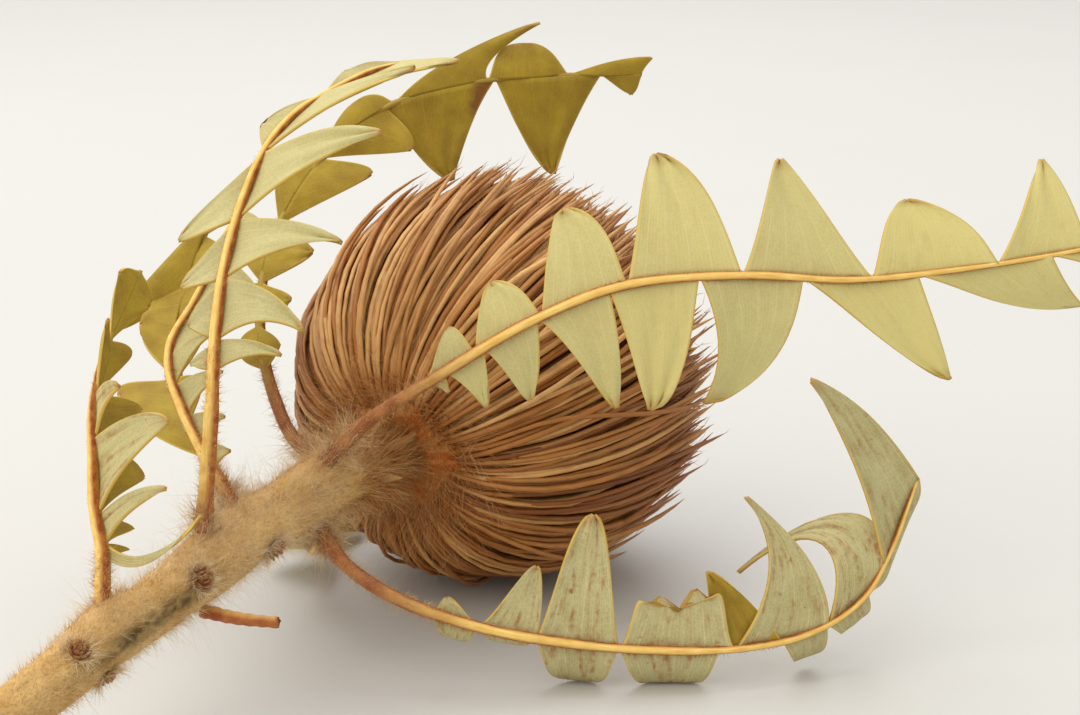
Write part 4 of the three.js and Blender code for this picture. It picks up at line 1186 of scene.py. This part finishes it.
# %% Floret paths
COAT = np.array([[5.2, -33.0], [20, -38.5], [39.5, -24], [40.5, 13]])
FLORET_SIDES = 5
FLORET_T = np.array([0, 0.08, 0.18, 0.28, 0.38, 0.48, 0.57, 0.66, 0.74, 0.81, 0.87, 0.92, 0.965, 1])
FLORET_RADIUS = np.array(
    [0.36, 0.4, 0.45, 0.49, 0.52, 0.55, 0.565, 0.575, 0.58, 0.58, 0.56, 0.47, 0.28, 0.03])
FLORET_FLATNESS = 0.85
ROOT_RANGE, END_LIFT = (-0.4, 3.0), 0.5
RADIUS_SPREADS, RADIUS_PER_LAYER = (1.2, 0.8, 1.2), (2.0, 3.2)
HEIGHT_SPREADS, HEIGHT_PER_LAYER = (1.0, 2.8), (2.2, 1.4, 1.5, 7.0)
TURN_SPREAD, STRAY = 0.45, 3.0
CLUMP, CLUMPS, FAN = 0.05, 23, 0.06
SWAY, QUIVER, FLICK = 0.03, 0.01, (0.2, 0.9)


def floret_paths(count, depth, chance):
    """A Bezier curve for each floret, in radius, height and turn about the axis: deeper layers start
    further up the neck, lie further in and end further up the dome."""
    t = FLORET_T[None]
    turn = (np.arange(count) + depth * 2) * 2 * np.pi / count
    turn = turn + chance.normal(0, TURN_SPREAD, count) * 2 * np.pi / count
    corners = np.repeat(COAT[None], count, axis=0)
    radii, heights = corners[..., 0], corners[..., 1]
    radii[:, 0] += chance.uniform(*ROOT_RANGE, count)
    radii[:, 1] += chance.normal(0, RADIUS_SPREADS[0], count)
    radii[:, 2] += chance.normal(0, RADIUS_SPREADS[1], count) - RADIUS_PER_LAYER[0] * depth
    radii[:, 3] += chance.normal(END_LIFT, RADIUS_SPREADS[2], count) - RADIUS_PER_LAYER[1] * depth
    heights[:, 0] += HEIGHT_PER_LAYER[0] * max(depth, 0)
    heights[:, 1] += chance.normal(0, HEIGHT_SPREADS[0], count) + HEIGHT_PER_LAYER[1] * depth
    heights[:, 2] += HEIGHT_PER_LAYER[2] * depth
    heights[:, 3] += chance.normal(0, HEIGHT_SPREADS[1], count) + HEIGHT_PER_LAYER[3] * depth
    radius, height = bezier(radii[:, None], t), bezier(heights[:, None], t)
    stray = STRAY if depth < 0 else 1.0
    clump = CLUMP * np.sin(turn * CLUMPS + depth * 9) + chance.normal(0, FAN, count) * stray
    sway = chance.normal(0, SWAY, count)[:, None] * np.sin(np.pi * t) * stray
    sway = sway + chance.normal(0, QUIVER, count)[:, None] * np.sin(3 * np.pi * t)
    upward = (0.55 + 0.45 * np.cos(turn + 0.6))[:, None]
    flick = chance.normal(*FLICK, count)[:, None] * t**8 * upward
    return turn[:, None] + clump[:, None] * t**2.5 + sway, radius + flick, height


def floret_tubes(path, scale):
    """Tubes along floret paths, a little wider across the head than deep."""
    along = unit(np.gradient(path, axis=1))
    outward = path - (HEAD_CENTRE - HEAD_AXIS * 4)
    outward = unit(outward - along * np.sum(along * outward, axis=-1, keepdims=True))
    radius = FLORET_RADIUS[None] * scale[:, None]
    deep = radius * FLORET_FLATNESS
    return tubes(path, np.cross(along, outward), outward, radius, deep, FLORET_SIDES)[:2]


print("a floret has", len(FLORET_T), "rings of", FLORET_SIDES, "points")

# %% [markdown]
# ## The coat of florets
#
# Each layer is worked out as one array of tubes. Where the head rests, the florets are pressed: a hard
# limit would cut them off in a plane, so their height is softened with the logarithm of a sum of
# exponentials, which never goes below the table. The upper florets are painted lighter, a painted light
# for the bright top of the head.

# %% Coat of swept florets
FLORET_GIRTH = (0.85, 1.15)
PRESSED, PRESSED_HEIGHT, PRESSED_VARIES = 1.2, 0.9, 0.8
TOP_LIGHT_SHARE, END_RINGS = 0.35, 5
LAYERS = [(30, -0.35), (120, 0.0), (126, 0.3), (132, 0.6), (138, 0.9), (144, 1.2), (150, 1.5)]
floret_shells, floret_ends = [], []
for count, depth in LAYERS:
    path = in_head(*floret_paths(count, depth, random))
    table = PRESSED_HEIGHT + random.uniform(0, PRESSED_VARIES, count)[:, None]
    path[..., 2] = table + PRESSED * np.logaddexp((path[..., 2] - table) / PRESSED, 0)
    points, faces = floret_tubes(path, random.uniform(*FLORET_GIRTH, count))
    belly = path[:, len(FLORET_T) // 2 - 1] - HEAD_CENTRE
    turn = np.arctan2(belly @ head_side, belly @ head_down)
    # painted light: florets on the upper side of the head get a lighter tint, as if lit from above
    painted_top_light = TOP_LIGHT_SHARE * np.clip(-np.cos(turn), 0, 1)
    strand_tint_and_light = np.clip(random.beta(1.3, 1.3, count) + painted_top_light, 0, 1)[:, None, None]
    # painted shade: each layer carries its depth, which the finish turns into painted shade
    painted_depth_shade = max(depth, 0) / LAYERS[-1][1] + np.zeros(FLORET_SIDES)
    spot = vectors(strand_tint_and_light, FLORET_T[None, :, None], painted_depth_shade)
    floret_shells.append((points, faces, {"strand": spot}))
    floret_ends.append(path[:, -END_RINGS:])
floret_ends = np.concatenate(floret_ends)
piece("head_swept_florets", floret_shells, floret_finish)

# %% [markdown]
# ## The dome of floret tips
#
# On the far side only the ends of the florets show, set in the two families of spirals that plants
# make when each new one turns by the golden angle from the last. Spacing them evenly in height over
# an ellipse gives each the same room. Their tints lean to light straw, a painted light for the brightly
# lit top of the head.

# %% Dome florets
DOME_FLORETS = 3900
DOME_SIDES = 4
DOME_T = np.array([0, 0.5, 0.85, 1.0])
DOME_WIDTH = np.array([0.45, 0.48, 0.42, 0.04])
DOME_LENGTHS, DOME_GIRTH, DOME_TINT_AND_LIGHT = (8.5, 12.0), (0.8, 1.15), (4, 1.2)
DOME_ROOTS, DOME_RIM = (31, 25), (-0.12, 1.12)
DOME_PULL, DOME_SCATTER, DOME_BEND, DOME_FLOOR = 1.4, 0.1, 0.9, 0.9
GOLDEN_ANGLE = np.pi * (3 - math.sqrt(5))


def dome_paths(count, chance):
    """Root on the ellipse, then out along a direction between the surface's own and the head's axis."""
    share = (np.arange(count) + 0.5) / count
    tilt = np.arccos(np.clip(DOME_RIM[0] + DOME_RIM[1] * share, -1, 1))
    turn = np.arange(count) * GOLDEN_ANGLE + chance.normal(0, 0.02, count)
    foot = in_head(turn, DOME_ROOTS[0] * np.sin(tilt), DOME_FOOT + DOME_ROOTS[1] * np.cos(tilt))
    way = in_head(turn, np.sin(tilt), np.zeros(count)) - HEAD_CENTRE
    way = way + HEAD_AXIS * (np.cos(tilt) + DOME_PULL)[:, None]
    way = unit(unit(way) + chance.normal(0, DOME_SCATTER, (count, 3)))
    length = chance.uniform(*DOME_LENGTHS, count)
    bend = chance.normal(0, DOME_BEND, (count, 1, 3)) * DOME_T[None, :, None] ** 2
    return foot[:, None] + way[:, None] * (length[:, None] * DOME_T)[..., None] + bend, way


path, way = dome_paths(DOME_FLORETS, random)
path[..., 2] = np.maximum(path[..., 2], DOME_FLOOR)
across = unit(np.cross(way, HEAD_AXIS + 0.01))[:, None] + 0 * path
outward = np.cross(across, way[:, None])
radius = DOME_WIDTH[None] * random.uniform(*DOME_GIRTH, DOME_FLORETS)[:, None]
points, faces, _ = tubes(path, across, outward, radius, radius * FLORET_FLATNESS, DOME_SIDES)
# painted light: the dome's tints lean to light straw for the bright light on the head's top
dome_tint_and_light = random.beta(*DOME_TINT_AND_LIGHT, DOME_FLORETS)[:, None, None]
spot = vectors(dome_tint_and_light, 0.5 + 0.3 * DOME_T[None, :, None], np.zeros(DOME_SIDES))
piece("head_dome_florets", [(points, faces, {"strand": spot})], floret_finish)

# %% [markdown]
# ## Wool and down
#
# Hair is what makes the plant look soft: a felt on the bark, rust-red down on the leaf stalks, long
# pale threads round the neck, a tangle of rust and tan wool where the florets start, and a fringe on
# the floret tips. Each hair is a bent cone with three sides, which is as little as can still be a
# closed shell. One number on its points sets it between rust, tan and white.

# %% Hair finish and helper
wool_finish, tree, shader = new_finish("wool", roughness=0.8, specular=0.1)
wool_tint = add(tree, "Attribute", attribute_name="tint").outputs["Fac"]
wool_tone = tones(tree, wool_tint, 0.0, 0.5, "bd6224", "e6bd78")
wool_tone = mix(tree, fade(tree, wool_tint, 0.5, 1.0), wool_tone, colour("f8e8c8"))
wool_tone = mix(tree, fade(tree, noise(tree, 300.0), 0.4, 0.7, 0.0, 0.2), wool_tone, colour("9c6430"))
tree.links.new(wool_tone, shader.inputs["Base Color"])
HAIR_SIDES, HAIR_FLOOR, HAIR_TIP = 3, 0.15, 1.05


def hairs(roots, ways, lengths, tint, thickness, curl, rings):
    """root + way * length * s + a chance sideways bend * s squared, tapering to a point."""
    s = np.linspace(0, 1, rings)[None, :, None]
    ways = unit(ways)
    bend = random.normal(0, curl, (len(roots), 1, 3)) * lengths[:, None, None]
    path = roots[:, None] + ways[:, None] * lengths[:, None, None] * s + bend * s**2
    path[..., 2] = np.maximum(path[..., 2], HAIR_FLOOR)
    across = unit(np.cross(ways, random.normal(0, 1, ways.shape)))[:, None] + 0 * path
    outward = np.cross(ways[:, None], across)
    radius = thickness * (HAIR_TIP - s[..., 0]) * np.ones((len(roots), 1))
    points, faces, _ = tubes(path, across, outward, radius, radius, HAIR_SIDES)
    return points, faces, {"tint": np.repeat(tint, rings * HAIR_SIDES)}


print("a hair of three rings has", 2 * HAIR_SIDES + 2, "faces")

# %% [markdown]
# ## Felt on the stem
#
# The felt is short down that leans towards the head, thin on the worn patch, darker near the cut and
# redder near the head. It could be a finish alone, but then the stem's outline would be hard. So
# thousands of hairs stand on the bark, in a short coat and a thinner, longer one above it.

# %% Felt on the stem
RUST_FROM, RUST_FULL, RUST_SHARE = 0.74, 0.92, 0.6
WORN_DARK, WORN_END, WORN_BARE = 0.42, 0.45, 0.6
ROOT_DEPTH = 0.98


def stem_hairs(count, stretch, lengths, thickness, tint, spread, curl, rings):
    """Hairs from chance places on the bark, leaning towards the head, redder near it."""
    u = random.uniform(*stretch, count)
    degrees = random.uniform(-180, 180, count)
    felted = patch_at(u, degrees) < random.uniform(0, WORN_BARE, count)
    u, degrees, count = u[felted], degrees[felted], np.count_nonzero(felted)
    centre, along, away = around_stem(u, degrees)
    ways = away + along * random.uniform(0, 1.2, (count, 1)) + random.normal(0, spread, (count, 3))
    roots = centre + away * stem_radius(u)[:, None] * ROOT_DEPTH
    roots = roots + away * (SWELLING * cushions(roots, along))[:, None]
    rust = RUST_SHARE * np.clip((u - RUST_FROM) / (RUST_FULL - RUST_FROM), 0, 1)
    worn = WORN_DARK * np.clip(1 - u / WORN_END, 0, 1)
    shade = np.clip(random.uniform(*tint, count) - rust - worn, 0, 1)
    return hairs(roots, ways, random.uniform(*lengths, count), shade, thickness, curl, rings)


short_coat = dict(stretch=(0.0, 0.98), lengths=(0.7, 1.9), thickness=0.04, tint=(0.5, 0.95), curl=0.25)
long_coat = dict(stretch=(0.3, 0.98), lengths=(1.8, 3.2), thickness=0.035, tint=(0.65, 1.0), curl=0.4)
stem_felt = [
    stem_hairs(10500, **short_coat, spread=0.5, rings=2),
    stem_hairs(4500, **long_coat, spread=0.5, rings=3),
]
piece("stem_felt", stem_felt, wool_finish)

# %% [markdown]
# ## Long hair
#
# Longer threads grow in four places: white halos round the buds, tufts where each leaf stalk leaves
# the stem, a mane on the neck that lies forward over the base of the head, and single threads all
# along the upper stem. Each place has its own rule for roots and directions, and all share one helper.

# %% Long hair on the stem
HALO_HAIRS, HALO_LENGTHS, HALO_TINT = 260, (1.5, 3.6), (0.65, 1.0)
JOINT_HAIRS, JOINT_LENGTHS, JOINT_TINT = 520, (2.0, 6.0), (0.4, 1.0)
JOINT_STRETCH = slice(20, 150)
MANE_HAIRS, MANE_FROM, MANE_LENGTHS = 3200, 0.84, (3.0, 7.5)


def halo_hairs(u, degrees, radius):
    """White hairs that stand out all round a bud."""
    centre, along, away = around_stem(np.array(u), np.array(float(degrees)))
    turn = random.uniform(0, 2 * np.pi, HALO_HAIRS)[:, None]
    flat = np.cos(turn) * along + np.sin(turn) * np.cross(away, along)
    roots = centre + away * (stem_radius(u) - 0.2) + flat * radius * 0.9
    ways = flat + away * random.uniform(0.2, 1.4, (HALO_HAIRS, 1))
    ways = ways + random.normal(0, 0.2, (HALO_HAIRS, 3))
    shade = random.uniform(*HALO_TINT, HALO_HAIRS)
    lengths = random.uniform(*HALO_LENGTHS, HALO_HAIRS)
    return hairs(roots, ways, lengths, shade, thickness=0.06, curl=0.25, rings=3)


def joint_hairs(foot, count):
    """Long hairs from the foot of a leaf stalk, which spread to all sides and lean along it."""
    u = random.beta(1.6, 1.6, count) * 0.9
    ahead = unit(on_path(foot, np.minimum(u + 0.02, 1)) - on_path(foot, u))
    spread = unit(np.cross(ahead, random.normal(0, 1, (count, 3))))
    roots = on_path(foot, u) + spread * STALK_RADIUS * 0.9
    ways = spread + ahead * random.uniform(-0.3, 1.5, (count, 1)) + random.normal(0, 0.3, (count, 3))
    lengths, shade = [random.uniform(*limits, count) for limits in (JOINT_LENGTHS, JOINT_TINT)]
    return hairs(roots, ways, lengths, shade, thickness=0.04, curl=0.35, rings=3)


def neck_hairs(count):
    """Long hairs that start on the last of the stem and lie forward over the base of the head."""
    u = random.uniform(MANE_FROM, 1.0, count)
    centre, along, away = around_stem(u, random.uniform(0, 360, count))
    roots = centre + away * stem_radius(u)[:, None] * 0.95
    ways = along * random.uniform(0.4, 1.6, (count, 1)) + away + random.normal(0, 0.35, (count, 3))
    lengths, shade = random.uniform(*MANE_LENGTHS, count), random.beta(1.1, 2.6, count)
    return hairs(roots, ways, lengths, shade, thickness=0.06, curl=0.35, rings=3)


threads = dict(stretch=(0.5, 0.98), lengths=(3.0, 5.5), thickness=0.03, tint=(0.75, 1.0))
long_threads = dict(stretch=(0.55, 0.97), lengths=(4.0, 8.0), thickness=0.028, tint=(0.85, 1.0))
stem_wool = [
    *[joint_hairs(leaf["path"][JOINT_STRETCH], JOINT_HAIRS) for leaf in LEAVES.values()],
    neck_hairs(MANE_HAIRS),
    stem_hairs(2400, **threads, spread=0.6, curl=0.5, rings=3),
    stem_hairs(500, **long_threads, spread=0.7, curl=0.5, rings=4),
    *[halo_hairs(*knob) for knob in KNOBS],
]
piece("stem_long_hair", stem_wool, wool_finish)

# %% [markdown]
# ## Down on the leaf stalks
#
# The rust-red stalks carry a short down all round, and a trace of it goes on along the two edges of
# the rib, where the felt of the blade begins. A finish can't break the stalk's smooth outline, so these
# are hairs too. The first go all round the tube, the others start only at its two edges.

# %% Down on the leaf stalks and along the ribs
RIB_EDGES = [0.15, np.pi - 0.15]
STALK_ROOTS = 0.85


def rib_hairs(leaf, count, stretch, lengths, tint, sides, rings):
    """Short hairs from a rib: all round it on the stalk, or only from its two edges further out."""
    u = random.uniform(*stretch, count)
    along, outward, across = frame_along(leaf["path"], u, facing_of(leaf)(u))
    turn = random.uniform(0, 2 * np.pi, count)
    if sides:
        turn = random.choice(sides, count) + random.normal(0, 0.3, count)
    away = np.cos(turn)[:, None] * across + np.sin(turn)[:, None] * outward
    roots = rib_centre(leaf, u) + away * rib_radius(leaf, u)[:, None] * STALK_ROOTS
    ways = away + along * random.uniform(-0.2, 1.0, (count, 1)) + random.normal(0, 0.3, (count, 3))
    shade = random.uniform(*tint, count)
    lengths = random.uniform(*lengths, count)
    return hairs(roots, ways, lengths, shade, thickness=0.04, curl=0.25, rings=rings)


all_round = dict(lengths=(0.6, 2.2), tint=(0.15, 0.8), sides=None, rings=3)
at_edges = dict(lengths=(0.3, 0.8), tint=(0.0, 0.3), sides=RIB_EDGES, rings=2)
stalk_wool = []
for leaf in LEAVES.values():
    stalk_wool.append(rib_hairs(leaf, 700, (0.0, leaf["stalk"] * 1.1), **all_round))
    stalk_wool.append(rib_hairs(leaf, 350, (leaf["stalk"], 0.7), **at_edges))
piece("leaf_stalk_down", stalk_wool, wool_finish)

# %% [markdown]
# ## Wool at the base of the head
#
# Where the florets start there is a mat of rust and tan wool with loose hairs over it, and each floret
# ends in a few fine hairs. Hairs alone would need to be very many to hide what lies under them, so a
# lumpy pad lies underneath, turned from the coat's own profile, and the hairs grow out of it.

# %% Wool pad
PAD_REACH, PAD_RISE, PAD_INSET = 0.17, 0.9, 1.5
PAD_ROWS, PAD_SIDES = 30, 90
PAD_RAGGED, PAD_RUST, PAD_MOTTLE, PAD_TAN = 0.5, 0.12, 0.5, 0.45


def pad_shell():
    """The matted wool under the loose hairs: the start of the coat's profile turned about the axis,
    lifted off the florets in the middle of its reach, with chance lumps."""
    share = np.linspace(0, 1, PAD_ROWS)[:, None]
    turn = (np.arange(PAD_SIDES) * 2 * np.pi / PAD_SIDES)[None]
    t = PAD_REACH * share * (1 + PAD_RAGGED * waves(turn, 0, 21))
    lift = PAD_RISE * np.sin(np.pi * share) ** 0.5 * (1 + waves(3 * turn, 0.05 * share, 23))
    radius = bezier(COAT[:, 0], t) - PAD_INSET
    height = bezier(COAT[:, 1], t)
    points = in_head(turn + 0 * t, radius, height - lift)
    back = in_head(turn + 0 * t, radius, height + PAD_INSET)
    points = np.concatenate([points, back[::-1]])
    index = np.arange(points[..., 0].size).reshape(points.shape[:2])
    round_on = np.roll(index, -1, axis=1)
    on = np.roll(index, -1, axis=0)
    walls = np.stack([index, on, np.roll(on, -1, axis=1), round_on], axis=-1).reshape(-1, 4)
    tint = np.clip(PAD_RUST + PAD_MOTTLE * waves(7 * turn, 0.08 * share, 22), 0, PAD_TAN)
    return points.reshape(-1, 3), [walls], {"tint": np.r_[tint, tint[::-1]].ravel()}


print("the pad is a ring of", 2 * PAD_ROWS, "by", PAD_SIDES, "cells")

# %% [markdown]
# ## Loose wool and fringe
#
# The loose hairs are rooted on the coat's profile: a dense rust collar close to the stem and a thinner,
# longer one that reaches further on to the florets. The fringe starts on the last stretch of each
# floret and carries on in its direction, which softens the outline of the head.

# %% Loose wool and fringe
COLLAR_LIFT, COLLAR_AHEAD = 0.5, 0.05
FRINGE_EACH, FRINGE_LENGTHS, FRINGE_TINT = 3, (1.5, 3.8), (0.1, 0.5)


def collar_hairs(count, reach, lengths, thickness, tint, curl, rings):
    """Hairs rooted on the coat's own profile near the stem, lying along the florets or standing up."""
    t = reach * random.uniform(0, 1, count) ** 1.2
    turn = random.uniform(0, 2 * np.pi, count)
    here, ahead = [
        in_head(turn, bezier(COAT[:, 0], s), bezier(COAT[:, 1], s) + COLLAR_LIFT)
        for s in (t, t + COLLAR_AHEAD)
    ]
    ways = unit(ahead - here) - HEAD_AXIS * random.uniform(-0.2, 1.2, (count, 1))
    ways = ways + random.normal(0, 0.45, (count, 3))
    lengths, shade = random.uniform(*lengths, count), random.uniform(*tint, count)
    return hairs(here, ways, lengths, shade, thickness, curl, rings)


def tip_hairs(each):
    """A few fine hairs that carry each floret's end on past its point."""
    ends = np.repeat(floret_ends, each, axis=0)
    roots = ends[np.arange(len(ends)), random.integers(0, ends.shape[1], len(ends))]
    ways = unit(ends[:, -1] - ends[:, 0]) + random.normal(0, 0.22, roots.shape)
    lengths, shade = [random.uniform(*limits, len(ends)) for limits in (FRINGE_LENGTHS, FRINGE_TINT)]
    return hairs(roots, ways, lengths, shade, thickness=0.06, curl=0.12, rings=3)


dense = dict(reach=0.21, lengths=(2.5, 6.0), thickness=0.08, tint=(0.0, 0.4), curl=0.4, rings=3)
loose = dict(reach=0.35, lengths=(3.0, 8.0), thickness=0.05, tint=(0.0, 0.7), curl=0.3, rings=4)
head_wool = [
    pad_shell(),
    collar_hairs(6000, **dense),
    collar_hairs(2200, **loose),
    tip_hairs(FRINGE_EACH),
]
piece("head_wool", head_wool, wool_finish)
